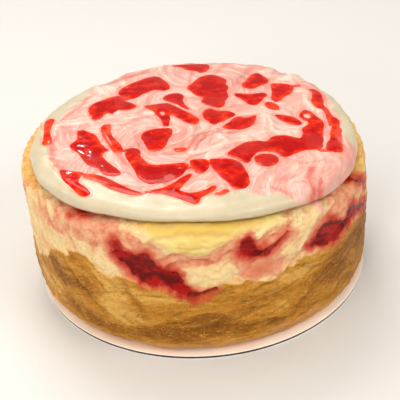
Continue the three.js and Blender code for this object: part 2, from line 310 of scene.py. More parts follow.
def grid_normals(grid):
    """Directions that point out of a grid of rings."""
    round_it = np.roll(grid, -1, 1) - np.roll(grid, 1, 1)
    upwards = np.gradient(grid, axis=0)
    normal = np.cross(round_it, upwards)
    return normal / np.maximum(np.linalg.norm(normal, axis=2, keepdims=True), 1e-9)


def raised(grid, rise):
    """A grid of rings whose points are moved outwards, each by its own rise in mm."""
    return grid + grid_normals(grid) * rise.reshape(grid.shape[:2])[:, :, None]


def rolled_skin(name, grid):
    """A closed mesh from a grid of rings. The first and the last ring close to a point.

    With the piece comes the number of the grid point that each of its points stands for.
    """
    rows = len(grid)
    bm = bmesh.new()
    bmesh.ops.create_grid(bm, x_segments=COLUMNS, y_segments=rows - 1, size=1)
    mesh = bpy.data.meshes.new(name)
    bm.to_mesh(mesh)
    sheet = np.empty(len(mesh.vertices) * 3, np.float32)
    mesh.vertices.foreach_get("co", sheet)
    share = (sheet.reshape(-1, 3) + 1) / 2
    column = np.rint(share[:, 0] * COLUMNS).astype(np.int32) % COLUMNS
    row = np.rint(share[:, 1] * (rows - 1)).astype(np.int32)
    numbers = row * COLUMNS + column
    mesh.vertices.foreach_set("co", (grid.reshape(-1, 3)[numbers] * MM).astype(np.float32).ravel())
    mesh.attributes.new("number", "INT", "POINT").data.foreach_set("value", numbers)
    bm.clear()
    bm.from_mesh(mesh)
    bmesh.ops.remove_doubles(bm, verts=bm.verts, dist=0.0005 * MM)
    bmesh.ops.recalc_face_normals(bm, faces=bm.faces)
    bm.to_mesh(mesh)
    bm.free()
    numbers = np.empty(len(mesh.vertices), np.int32)
    mesh.attributes["number"].data.foreach_get("value", numbers)
    mesh.attributes.remove(mesh.attributes["number"])
    mesh.shade_smooth()
    mesh.update()
    print(name, len(mesh.vertices), "points,", len(mesh.polygons), "faces")
    return put_in_scene(name, mesh), numbers


def keep_values(piece, numbers, values):
    """Stores values of grid points on a mesh, where its material can read them."""
    for name, found in values.items():
        picked = np.ascontiguousarray(found[numbers], np.float32)
        kind, part = ("FLOAT_VECTOR", "vector") if picked.ndim == 2 else ("FLOAT", "value")
        kept = piece.data.attributes.new(name, kind, "POINT")
        kept.data.foreach_set(part, picked.ravel())


def closed_mesh(name, bm):
    """A mesh whose faces all look outwards."""
    bmesh.ops.recalc_face_normals(bm, faces=bm.faces)
    mesh = bpy.data.meshes.new(name)
    bm.to_mesh(mesh)
    bm.free()
    return mesh


# %% [markdown]
# ## The cake board
#
# The board is three plies glued together: a white paper below, a thicker grey board and a pale
# pink paper on top. Each ply is a profile spun round the upright axis, with a small round on the
# rims, because a cut paper edge is never knife sharp.

# %% Board plies
BOARD_STEPS = 256
RIM_ROUND = 0.12
RIM_TURNS = (0, 30, 60, 90)
HALFWAY = 0.5


def board_ply(name, node):
    """A ply of the board: its profile spun round the upright axis."""
    low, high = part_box(node)
    radius = high.x
    ease = RIM_ROUND * MM
    turns = [math.radians(turn) for turn in RIM_TURNS]
    rim = [(radius - ease + ease * math.sin(t), low.z + ease - ease * math.cos(t)) for t in turns]
    rim += [(r, low.z + high.z - z) for r, z in reversed(rim)]
    middle = radius * HALFWAY
    profile = [(0, low.z), (middle, low.z), *rim, (middle, high.z), (0, high.z)]
    bm = bmesh.new()
    points = [bm.verts.new((r, 0, z)) for r, z in profile]
    for start, end in zip(points, points[1:]):
        bm.edges.new((start, end))
    bmesh.ops.spin(
        bm,
        geom=bm.verts[:] + bm.edges[:],
        axis=(0, 0, 1),
        cent=(0, 0, 0),
        steps=BOARD_STEPS,
        angle=2 * math.pi,
        use_merge=True,
    )
    bmesh.ops.remove_doubles(bm, verts=bm.verts, dist=0.001 * MM)
    piece = put_in_scene(name, closed_mesh(name, bm))
    print(name, len(piece.data.polygons), "faces")
    return piece


base_ply = board_ply("board_base", "board_base_paper")
core_ply = board_ply("board_middle", "board_core")
top_ply = board_ply("board_top", "board_top_paper")

# %% [markdown]
# ## The baked body
#
# The body is a short drum that leans out a little, with a rolled foot on the board and a ledge at
# the top that shows round the cream. Its skin has rings every half millimetre up the wall, where
# the tears and folds are, and only a few where it is hidden.

# %% Body skin
MIDDLE_HEIGHT = 33
RAY_START = 45
RAY_REACH = 32
WALL_AIMS = np.arange(-5.5, 63, 0.58)
SHOULDER_SLOPES = np.arange(43.6, 56, 0.8)
BODY_EASING = 10

BODY_RAYS = [(radius, MIDDLE_HEIGHT, -90) for radius in (0, 18, 36, 50, 60, 66)]
WALL_START = len(BODY_RAYS)
wall_slopes = [math.degrees(math.atan2(aim - MIDDLE_HEIGHT, RAY_REACH)) for aim in WALL_AIMS]
BODY_RAYS += [(RAY_START, MIDDLE_HEIGHT, slope) for slope in (*wall_slopes, *SHOULDER_SLOPES)]
WALL_END = len(BODY_RAYS)
BODY_RAYS += [(radius, MIDDLE_HEIGHT, 90) for radius in (60, 48, 32, 16, 0)]

body_profile = skin_profile("baked_cheesecake", BODY_RAYS)
body_profile = eased(body_profile, WALL_START + 2, WALL_END, BODY_EASING)
body_grid = ring_points(body_profile)
body_points = body_grid.reshape(-1, 3)
body_turn = np.degrees(np.arctan2(body_points[:, 1], body_points[:, 0]))
body_level = body_points[:, 2]
print("body skin", body_grid.shape[:2])

# %% [markdown]
# ### Where things are on the wall
#
# The wall is read like a label that was peeled off a tin: along it in degrees, with 0 at the right,
# 90 at the back and -90 at the front, and up it in mm. Outlines drawn on that label say where the
# berries, the custard and the pink crumb are. A wobble pushes the label about by a millimetre, so
# that no outline stays clean. The label is drawn for the front half. The back half wears the same
# label turned about, stretched and shifted up and down, so it has the same kinds of forms. Its
# right part is kept plainer, so that no berry faces its own copy across the right side.

# %% Slanting noise
def sheared(points, turn_per_mm):
    """Points turned round the cake in step with their height, so that noise runs slantwise."""
    turn = turn_per_mm * points[:, 2]
    x = points[:, 0] * np.cos(turn) - points[:, 1] * np.sin(turn)
    y = points[:, 0] * np.sin(turn) + points[:, 1] * np.cos(turn)
    return np.stack([x, y, points[:, 2]], axis=1)


# %% The wall as a label
BODY_RADIUS = 77.4
DEGREE = math.radians(1) * BODY_RADIUS
BACK_TURN, BACK_STRETCH, BACK_SWAY, BACK_LIFT = -14, -0.92, 11, 3.5
WOBBLE = 0.9
WOBBLE_SIZE = 4.5
OUTLINE_MARGIN = 12
LINE_MARGIN = 10

behind = body_turn > 0
turn_behind = BACK_TURN + BACK_STRETCH * body_turn + BACK_SWAY * np.sin(np.radians(body_turn))
label_turn = np.where(behind, turn_behind, body_turn)
label_level = body_level - np.where(behind, BACK_LIFT * np.sin(np.radians(2 * body_turn)), 0)
wobble_along, wobble_rise = (WOBBLE * clouds(body_points, WOBBLE_SIZE, seed) for seed in (3, 12))


def on_label(middle):
    """Every body point in mm along and up the label, measured from a middle angle."""
    along = ((label_turn - middle + 180) % 360 - 180) * DEGREE
    return np.stack([along + wobble_along, label_level + wobble_rise], axis=1)


def label_measure(measure, corners, margin, elsewhere):
    """A measure of each body point near some corners on the label, and one value elsewhere."""
    corners = np.array(corners, float)
    middle = corners[:, 0].mean()
    corners[:, 0] = (corners[:, 0] - middle) * DEGREE
    points = on_label(middle)
    found = np.full(len(points), elsewhere)
    close = nearby(points, corners, margin)
    found[close] = measure(points[close], corners)
    return found


def label_depth(outline):
    """How deep each body point lies inside an outline on the label."""
    return label_measure(outline_depth, outline, OUTLINE_MARGIN, -FAR)


def label_line(line):
    """Distance of each body point from a line on the label."""
    return label_measure(line_distance, line, LINE_MARGIN, FAR)


def label_spot(middle, height, half_along, half_up):
    """A soft oval spot on the label, 1 in its middle."""
    points = on_label(middle)
    return np.exp(-((points[:, 0] / half_along) ** 2) - ((points[:, 1] - height) / half_up) ** 2)


# %% The crust's upper edge
CRUST_EDGE = [
    (-180, 27), (-170, 26), (-160, 29), (-152, 31), (-148, 35), (-144, 40.5), (-140, 42),
    (-136, 43.5), (-131, 46), (-127, 45.5), (-124, 41), (-121, 38.2), (-117, 40), (-113, 40),
    (-108, 38.5), (-104, 38), (-100, 37.5), (-96, 33.5), (-92, 35), (-88, 37.5), (-84, 39),
    (-79, 38), (-74, 35.5), (-68, 35.5), (-63, 38), (-59, 41), (-54, 41), (-48, 40.5), (-40, 40.5),
    (-34, 40.5), (-28, 38), (-22, 36), (-12, 37), (0, 38),
]
edge_turns, edge_heights = np.array(CRUST_EDGE).T
crust_height = np.interp(label_turn, edge_turns, edge_heights)
crust_height += 2.4 * clouds(sheared(body_points, 0.03), (6, 6, 16), 21)
above_crust = label_level + wobble_rise - crust_height
crust = 1 - soft_step(-3.2, 3.2, above_crust)
torn = 1 - crust
print("crust covers", round(float(crust.mean()), 2), "of the skin")

# %% Berries in the wall
BERRIES = [
    [(-117.5, 58.5), (-115.8, 57.5), (-114, 54), (-110, 53.2), (-107, 54.5), (-105, 52.5),
     (-103.5, 49), (-101, 47), (-98, 46.5), (-96.5, 43.5), (-95.5, 39), (-93, 36.5), (-90, 36.2),
     (-87.3, 37.4), (-88.5, 36.2), (-91, 34.2), (-94, 33), (-97, 34), (-99, 37), (-102, 39),
     (-105, 38.6), (-108.5, 39.5), (-111.5, 42.5), (-112.5, 46), (-114.5, 48.5), (-117.6, 52)],
    [(-79, 57.5), (-76, 58.5), (-74.5, 55), (-73, 52.5), (-70.5, 52.5), (-69, 51.6), (-67.5, 52.6),
     (-65.2, 54.6), (-63.8, 55.6), (-65, 54), (-67.5, 51.4), (-70, 49.8), (-73, 48.6), (-76, 48),
     (-78.3, 50), (-79.4, 53)],
    [(-55.5, 45), (-52, 49.5), (-49.5, 52), (-47, 52), (-45, 50), (-42.5, 48.6), (-40, 47),
     (-37.5, 46.5), (-35.5, 49.5), (-33.5, 49.8), (-30, 47), (-26, 44.5), (-22, 42), (-18, 39.5),
     (-20, 38.5), (-25, 40.5), (-30, 42.5), (-34, 43), (-37, 41.5), (-41, 41), (-45, 40.2),
     (-49, 41), (-53, 43)],
    [(-31, 61), (-28.5, 60), (-25, 56), (-21, 52.5), (-17, 49.5), (-14, 48), (-16, 47), (-20, 50),
     (-24, 53.5), (-28, 57.5)],
    [(-137.5, 67.5), (-136.5, 64.8), (-134, 63.5), (-131.5, 62.9), (-129, 63.8), (-128, 67.5)],
]
PLAIN_TURNS = (38, 62)
PLAIN_SHIFT = 12

plain_back = behind * (1 - soft_step(*PLAIN_TURNS, body_turn))
berry_depth = np.max([label_depth(outline) for outline in BERRIES], axis=0)
berry_depth -= np.where(berry_depth > -FAR, PLAIN_SHIFT * plain_back, 0)
berry = soft_step(-1.4, 1.2, berry_depth)
juice = soft_step(-5.5, 0.6, berry_depth + 1.3 * clouds(body_points, 5, 25, 3))
print("berries cover", int(berry.sum()), "points")

# %% Custard, pink crumb and pale folds
CUSTARD = [
    [(-112, 66), (-108, 64.5), (-104, 61), (-100, 57.5), (-95.5, 55), (-91, 54.5), (-86.5, 56),
     (-82.5, 59), (-79, 61.5), (-74, 61.8), (-69, 60.5), (-64, 61.5), (-60, 63.5), (-56, 63),
     (-56, 66)],
]
LENS = [
    [(-107, 60.5), (-103, 62), (-96, 62.5), (-88, 62), (-82, 60.5), (-80, 58.5), (-84, 56.5),
     (-90, 54.8), (-96, 55), (-102, 57.5)],
]
CRUMBLY = [
    [(-76, 62.5), (-68, 62), (-60, 61.5), (-52, 62), (-49, 58), (-54, 54), (-60, 54.5), (-66, 57),
     (-73, 58)],
    [(-92, 46), (-84, 47), (-83, 43), (-88, 40), (-93, 42)],
]
DRIP = [[(-53.5, 67), (-47.5, 67), (-48, 62.5), (-49.6, 58), (-51, 56.6), (-52.2, 60)]]
PINK_CRUMB = [
    [(-135, 63.5), (-129.5, 64.5), (-118, 65), (-117, 60), (-120, 56), (-125, 54), (-129.5, 53),
     (-132.5, 57), (-133.5, 61)],
    [(-118.5, 60), (-112, 61), (-104, 57), (-97, 53), (-90, 53), (-84, 55.5), (-81, 57), (-80, 54),
     (-86, 50), (-90, 48.5), (-95, 49.5), (-98, 46), (-104, 50)],
    [(-80.5, 55), (-79.8, 47), (-80.2, 42), (-77, 38.5), (-71, 38.8), (-66, 38.5), (-66, 44),
     (-70, 47), (-71, 50), (-66, 53), (-61, 55.5), (-58, 54), (-63, 51), (-68, 49)],
    [(-52, 53), (-46, 54.5), (-40, 55), (-35, 52), (-30, 56), (-26, 53), (-20, 48), (-14, 44),
     (-12, 46), (-18, 53), (-26, 58.5), (-34, 60.5), (-42, 60.5), (-41, 56)],
    [(-178, 50), (-171, 55), (-164, 60), (-158, 63), (-162, 56), (-170, 49), (-176, 44)],
]
PALE_FOLDS = [
    [(-98, 47), (-95, 49), (-90, 48.8), (-86.5, 48.5), (-83, 46.5), (-82, 43), (-83.5, 40),
     (-87, 38.6), (-90, 37.2), (-94, 37.6), (-96.5, 41)],
    [(-66, 45.5), (-62, 45), (-60.5, 47.5), (-62, 49.5), (-65.5, 49)],
    [(-61, 50), (-56, 52), (-50, 57), (-47, 61), (-52, 62), (-58, 58)],
]
PINK_SPOT = (-140, 55.5, 9, 5)
PINK_STRENGTH = 0.6
STAINED_SPOT = (-73, 42.5, 10, 5)
STAIN_STRENGTH = 0.55


def label_cover(outlines, low, high):
    """How far each body point lies in any of some outlines, from 0 to 1."""
    return np.max([soft_step(low, high, label_depth(outline)) for outline in outlines], axis=0)


custard = label_cover(CUSTARD, -2.4, 2.6)
lens = label_cover(LENS, -2.2, 3.2)
drip = label_cover(DRIP, -0.8, 1.4)
crumbly = label_cover(CRUMBLY, -3, 3)
pink = label_cover(PINK_CRUMB, -3, 3.5) + 0.6 * soft_step(-8, -0.5, berry_depth)
pink += PINK_STRENGTH * label_spot(*PINK_SPOT)
pink = np.clip(pink, 0, 1) * (1 - custard) * (1 - 0.6 * crust) * (1 - 0.7 * plain_back)
pale = label_cover(PALE_FOLDS, -2.2, 2.6)
juice = np.maximum(juice, STAIN_STRENGTH * label_spot(*STAINED_SPOT) * (1 - crust) * (1 - pale))
print("pink crumb covers", round(float(pink.mean()), 2), "of the skin")

# %% [markdown]
# ### Tears, folds and creases
#
# Peeled crumb is rough and stands a little back from the crust, which kept its skin. It is ridged,
# pitted and in some patches crumbly. The custard with its paler lens, the pale folds of batter and
# the drip of pink cream bulge softly, and the berries have sunk in. In the crust there are sharp
# creases where the baking paper was folded, each with a small lip beside it. Long low folds run
# round it, and the foot is ringed with hairline wrinkles.


# %% The way the paper was peeled
STEEP_TURNS = (-100, -122)
DRIFT_SIZE = 12
DRIFT_REACH = 3.2

steep = soft_step(*STEEP_TURNS, label_turn)
drift = np.stack([clouds(body_points, DRIFT_SIZE, seed, 2) for seed in (181, 187, 193)], axis=1)
drifted = body_points + DRIFT_REACH * drift


def strands(size, seed, octaves=3):
    """Long strands along the way the paper was peeled: steep at the left, rising to the right."""
    left = clouds(sheared(drifted, 0.012), size, seed, octaves)
    right = clouds(sheared(drifted, np.where(behind, 0.022, -0.022)), size, seed, octaves)
    return steep * left + (1 - steep) * right


print("peeled steeply on", round(float(steep.mean()), 2), "of the skin")

# %% Rough crumb
# The whole wall swells softly, and the torn crumb has strands, lumps, ridges and pits.
slanted = sheared(drifted, 0.016)
torn_strands = strands((5, 5, 15), 33, 4)
rough = torn * (1 - 0.85 * custard) * (1 - 0.8 * berry)
coarse = rough * (1 - 0.5 * pale)
pitted = folds(body_points, 2.8, 171, 2) - 0.42
rise = 0.5 * clouds(body_points, 24, 5, 2)
rise -= 0.5 * torn * (1 - custard)
rise += coarse * 0.6 * torn_strands
rise += rough * 0.35 * clouds(slanted, (5, 5, 8), 31, 3)
rise += coarse * 0.45 * (folds(slanted, (7, 7, 12), 41, 2) - 0.4)
rise += 0.2 * rough * clouds(body_points, 1.7, 51, 2)
rise += (0.35 + 0.8 * crumbly) * rough * pitted
print("rough crumb on", round(float(rough.mean()), 2), "of the skin")

# %% Wrinkled crust, bulges and sunken berries
RIGHT_BERRY_TURNS = (-36, -24)

# The crust is wrinkled along the way it was peeled, and it ends in a broken lip.
lip = soft_step(-0.2, 0.5, clouds(body_points, 7, 81, 2))
rise += crust * 0.4 * clouds(sheared(drifted, -0.02), (9, 9, 3.6), 61)
rise += crust * 0.14 * clouds(body_points, 1.6, 71, 2)
rise += 0.4 * np.exp(-(((above_crust + 1.2) / 1.1) ** 2)) * lip

# Custard, batter and drip bulge. The berries sink in, the one at the right the least.
sink = 1.3 - 0.8 * soft_step(*RIGHT_BERRY_TURNS, label_turn)
rise += 0.5 * custard + 1.3 * lens
rise += 1.1 * pale + 0.9 * drip
rise -= sink * soft_step(-0.5, 3.2, berry_depth)
rise += berry * 0.26 * clouds(body_points, 2.6, 91, 2)
print("berries sink by up to", round(float((sink * berry).max()), 1), "mm")

# %% Creases
# Each crease has a width, a depth and a line on the label.
CREASES = [
    (1.3, 0.8, [(-115, 37), (-113.3, 33), (-111.5, 28.5), (-110, 25), (-109, 21.5)]),
    (0.7, 0.5, [(-75, 19), (-71, 18.5), (-66, 20), (-62, 23)]),
    (0.7, 0.6, [(-62, 12), (-60, 16), (-57, 20)]),
    (0.6, 0.5, [(-60.5, 10.5), (-55, 12), (-50, 14)]),
    (0.7, 0.45, [(-82, 24), (-74, 26), (-66, 28.5), (-60, 30)]),
    (0.6, 0.4, [(-80, 27.5), (-72, 30), (-64, 31)]),
    (0.9, 1.5, [(-94, 33.8), (-91, 35.2), (-87, 37.3)]),
    (0.8, 1.2, [(-71.5, 51), (-67.5, 53), (-63.8, 55.5)]),
    (0.9, 0.8, [(-75, 33.4), (-70, 34.6), (-66.5, 36.5), (-63, 39.5), (-60, 42.6), (-58, 43.5)]),
    (0.7, 0.8, [(-100.5, 48.3), (-97, 50), (-93, 51), (-89.8, 50.7), (-88.8, 49.2), (-86.5, 49.6),
                (-84, 52), (-82, 54.5)]),
    (0.7, 0.6, [(-106, 59.6), (-102, 61.9), (-95, 62.8), (-88, 62.6), (-82, 61.2)]),
    (0.5, 0.45, [(-97, 58.6), (-93, 57.6), (-88, 57.8), (-84, 59.2)]),
    (0.7, 0.6, [(-172, 22), (-166, 19), (-158, 18)]),
    (1.5, 0.7, [(-137, 39), (-133, 32), (-129, 25), (-122, 18)]),
    (0.7, 0.5, [(-48, 30), (-42, 27), (-36, 22), (-32, 16)]),
]
# Each crease is a trough in the mesh, and its depth is also kept for the finish, which darkens it as
# painted shade.
crease_shade = np.zeros(len(body_points))
for width, depth, line in CREASES:
    distance = label_line(line)
    trough = np.exp(-((distance / width) ** 2))
    rise += 0.5 * depth * np.exp(-(((distance - 2.2 * width) / width) ** 2)) - depth * trough
    crease_shade = np.maximum(crease_shade, depth * trough)
print(len(CREASES), "creases")

# %% Hairlines and long folds
# Hairlines run where a flat noise crosses zero: close together round the foot, wide apart above.
foot = 1 - soft_step(6, 12, body_level + 2.4 * clouds(body_points, 16, 29, 2))
wrinkle = lumps(body_points + 1.2 * clouds(body_points, 9, 15)[:, None], (26, 26, 1.2), 17)
broken = soft_step(-0.3, 0.3, clouds(body_points, 13, 27, 2))
upper_crust = crust * (1 - foot)
long_folds = lumps(sheared(drifted, -0.02), (24, 24, 2.6), 19)
# The hairlines are grooves in the mesh, and the finish also darkens them as painted shade.
shaded_hairline = foot * np.exp(-((wrinkle / 0.1) ** 2)) * broken
shaded_hairline = np.maximum(shaded_hairline, 0.6 * upper_crust * np.exp(-((long_folds / 0.06) ** 2)))
rise += 0.2 * foot * soft_step(2.4, 4, body_level) * wrinkle - 0.3 * shaded_hairline
rise += 0.2 * upper_crust * long_folds
print("the skin moves from", round(float(rise.min()), 1), "to", round(float(rise.max()), 1), "mm")

# %% [markdown]
# ### The ledge
#
# Round the cream, the body's top edge shows as a golden, flaky ledge. It breaks into small flakes
# that stick out, most of all at the back left.

# %% Flakes on the ledge
FLAKES_TURN = 172
FLAKES_SPREAD = 24
RELIEF_LIMITS = (-3.2, 1.9)
GOLDEN_LEDGE = [
    (-180, 1), (-165, 0.8), (-150, 0.35), (-130, 0), (-60, 0), (-45, 0.1), (-25, 0.7), (0, 1),
    (60, 1), (110, 0.8), (150, 1), (180, 1),
]
rim_height = np.tile(body_profile[1][WALL_END - 1], len(body_grid))
ledge = soft_step(-5.5, -1.5, body_level - rim_height)
golden = np.interp(body_turn, *np.array(GOLDEN_LEDGE, float).T)
from_flakes = (body_turn - FLAKES_TURN + 180) % 360 - 180
flaky = ledge * golden * (0.16 + 0.84 * np.exp(-((from_flakes / FLAKES_SPREAD) ** 2)))
rise += flaky * 2.0 * (folds(body_points, 3.2, 101) - 0.45)
rise += ledge * 0.18 * clouds(body_points, 2.2, 111, 2)
ledge *= golden

shown = np.zeros(body_grid.shape[:2])
shown[WALL_START + 3 : WALL_END - 2] = 1
shown = shown.ravel() * soft_step(2.2, 3.4, body_level)
body_final = raised(body_grid, np.clip(rise * shown, *RELIEF_LIMITS))
body, body_numbers = rolled_skin("cheesecake_body", body_final)
# The deepest pits of the rough crumb are kept for the finish, which darkens them as painted shade.
pit_shade = rough * soft_step(-0.12, -0.36, pitted) * (0.5 + 0.5 * crumbly)
body_values = {
    "berry": berry, "custard": custard, "pink": pink, "crust": crust, "pale": pale,
    "crease_shade": np.clip(crease_shade, 0, 1), "ledge": ledge, "foot": foot, "juice": juice, "drip": drip,
    "shaded_hairline": shaded_hairline, "pit_shade": pit_shade,
}
keep_values(body, body_numbers, body_values)
print("body box", [round(v) for v in np.ptp(body_final.reshape(-1, 3), axis=0)])

# %% [markdown]
# ### Light and dark in the crust
#
# The crust is browned in blotches: dark where the tin was hot, light where steam kept it soft. Each
# blotch is a soft oval on the label: its turn, its height and how far it reaches along and up.

# %% Browning
DARK_SPOTS = [
    (-143, 32, 8, 5), (-136, 28, 10, 4), (-133, 15, 13, 4), (-127, 33, 8, 5), (-85, 25, 24, 7),
    (-44, 24, 13, 6), (-58, 18, 8, 4), (-22, 26, 14, 9), (-165, 20, 9, 5), (-5, 30, 14, 10),
    (-12, 22, 18, 14), (-2, 26, 20, 16), (-118, 12, 20, 3.5), (-32, 33, 10, 5), (-92, 17, 22, 5),
    (-70, 14, 16, 3), (-49, 29, 15, 7), (-97, 14, 26, 3.5),
]
LIGHT_SPOTS = [
    (-119, 27, 8, 9), (-149, 20, 8, 8), (-113, 17, 12, 4), (-66, 20, 9, 3), (-57, 35, 12, 6),
    (-103, 32, 10, 6), (-14, 18, 12, 5), (-170, 12, 10, 5), (-121, 30, 5, 14),
]
DARK_STRENGTH = 0.7
LIGHT_STRENGTH = 0.5

browning = 0.25 * clouds(sheared(body_points, 0.02), (14, 14, 5), 121) - 0.15
browning += 0.45 * (1 - steep) * clouds(sheared(drifted, -0.03), (13, 13, 2.2), 123)
browning += 0.45 * steep * strands((3, 3, 16), 122)
for strength, spots in ((DARK_STRENGTH, DARK_SPOTS), (-LIGHT_STRENGTH, LIGHT_SPOTS)):
    for spot in spots:
        browning += strength * label_spot(*spot)
keep_values(body, body_numbers, {"browning": browning, "strands": torn_strands})
print("browning from", round(float(browning.min()), 1), "to", round(float(browning.max()), 1))

# %% [markdown]
# ## Where the sauce lies
#
# Each pool of sauce is a flat spill with a smooth outline. The CAD pools give those outlines: the
# edge of each pool's upper face, rounded through its corners. They come before the cream, because
# the cream lies a little lower under each pool and is stained all round it.

# %% Outlines of the pools
ROUNDING_STEPS = 5
SPREAD = 0.6
LID_SLOPE = 0.02


def pool_outlines(node):
    """The closed outlines of a CAD pool seen from above, in mm: its edge and then any hole."""
    bm = bmesh.new()
    bm.from_mesh(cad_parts[node].data)
    bmesh.ops.remove_doubles(bm, verts=bm.verts, dist=0.001 * MM)
    bm.normal_update()
    lids = {face for face in bm.faces if face.normal.z > LID_SLOPE}
    rim = dict.fromkeys(
        edge for edge in bm.edges if sum(face in lids for face in edge.link_faces) == 1
    )
    outlines = []
    while rim:
        edge = next(iter(rim))
        del rim[edge]
        loop = [edge.verts[0]]
        tip = edge.verts[1]
        while tip is not loop[0]:
            loop.append(tip)
            edge = next(other for other in tip.link_edges if other in rim)
            del rim[edge]
            tip = edge.other_vert(tip)
        outlines.append(np.array([vertex.co.xy / MM for vertex in loop]))
    bm.free()
    outlines.sort(key=lambda outline: -np.ptp(outline, axis=0).sum())
    turned = [outlines[0] if counterclockwise(outlines[0]) else outlines[0][::-1]]
    turned += [hole[::-1] if counterclockwise(hole) else hole for hole in outlines[1:]]
    return [grown(rounded(outline), SPREAD) for outline in turned]


def counterclockwise(outline):
    x, y = outline.T
    return np.sum(x * np.roll(y, -1) - y * np.roll(x, -1)) > 0


def rounded(outline):
    """A closed outline that curves smoothly through its corners."""
    before = np.roll(outline, 1, 0)
    after = np.roll(outline, -1, 0)
    beyond = np.roll(outline, -2, 0)
    curve = []
    for share in np.arange(ROUNDING_STEPS) / ROUNDING_STEPS:
        curve.append(
            outline
            + 0.5 * share * (after - before)
            + 0.5 * share**2 * (2 * before - 5 * outline + 4 * after - beyond)
            + 0.5 * share**3 * (3 * outline - before - 3 * after + beyond)
        )
    return np.stack(curve, axis=1).reshape(-1, 2)


def grown(outline, reach):
    """A closed outline moved outwards. A hole runs the other way round, so it gets smaller."""
    along = np.roll(outline, -1, 0) - np.roll(outline, 1, 0)
    out = np.stack([along[:, 1], -along[:, 0]], axis=1) / np.hypot(*along.T)[:, None]
    return outline + reach * out


pools = {node: pool_outlines(node) for node in sauce_nodes}
print(sum(len(outlines) for outlines in pools.values()), "outlines")


def pool_depth(points, outlines):
    """How deep flat points lie inside a pool, in mm. Outside it and in its holes it is negative."""
    depth = outline_depth(points, outlines[0])
    for hole in outlines[1:]:
        depth = np.minimum(depth, -outline_depth(points, hole))
    return depth


# %% [markdown]
# ## The cream
#
# The cream is a thick disc with a rolled edge, poured and then stirred with sauce. Stirring turns
# the cream round many small centres, so every ridge and every pink streak follows the same bent
# paths. The bent paths are worked out once and stored on the skin. The ridges in the mesh and the
# streaks in the material both read them. Lines drawn from above add what the noise can't place:
# red streaks, bare streaks where the spoon lifted clean cream, and thin films of sauce.

# %% Cream skin
CREAM_MIDDLE = 66
EDGE_RADIUS = 64
EDGE_SLOPES = np.arange(-72, 73, 5)
TOP_RADII = (*np.arange(64.6, 0.4, -0.68), 0)
CREAM_EASING = 8

CREAM_RAYS = [(radius, CREAM_MIDDLE, -90) for radius in (0, 20, 40, 55, 61)]
EDGE_START = len(CREAM_RAYS)
RAISED_START = EDGE_START + 14
BED_START = EDGE_START + 8
CREAM_RAYS += [(EDGE_RADIUS, CREAM_MIDDLE, slope) for slope in EDGE_SLOPES]
CREAM_RAYS += [(radius, CREAM_MIDDLE, 90) for radius in TOP_RADII]

cream_profile = skin_profile("cream_topping", CREAM_RAYS)
cream_profile = eased(cream_profile, EDGE_START + 2, len(CREAM_RAYS) - 1, CREAM_EASING)
cream_grid = ring_points(cream_profile)
cream_points = cream_grid.reshape(-1, 3)
cream_plan = cream_points[:, :2]
cream_top = np.zeros(cream_grid.shape[:2])
cream_top[RAISED_START:] = 1
cream_top = cream_top.ravel()
print("cream skin", cream_grid.shape[:2])

# %% Turns of the spoon
SPOON_TURNS = [
    (-16, -14, 20, 2.1), (13, -14, 18, -1.8), (37, -4, 15, 2.0), (46, 30, 13, -1.8),
    (-44, 20, 17, 1.5), (-22, -48, 16, 1.7), (9, 50, 16, -1.6), (42, -46, 20, 0.8),
    (-6, 26, 17, 1.9), (-50, -18, 14, -1.5), (28, 60, 13, 1.6),
]


def stirred(points):
    """Flat points followed back through every turn of the spoon."""
    for x, y, reach, turn in SPOON_TURNS:
        offset = points - np.array([x, y])
        angle = turn * np.exp(-np.sum(offset**2, axis=1) / reach**2)
        sideways = offset[:, 0] * np.cos(angle) - offset[:, 1] * np.sin(angle)
        onwards = offset[:, 0] * np.sin(angle) + offset[:, 1] * np.cos(angle)
        points = np.stack([sideways + x, onwards + y], axis=1)
    return points


cream_paths = np.column_stack([stirred(cream_plan), np.zeros(len(cream_plan))])
moved = np.hypot(*(cream_paths[:, :2] - cream_plan).T)
print("the spoon moved the cream by up to", round(float(moved.max())), "mm")

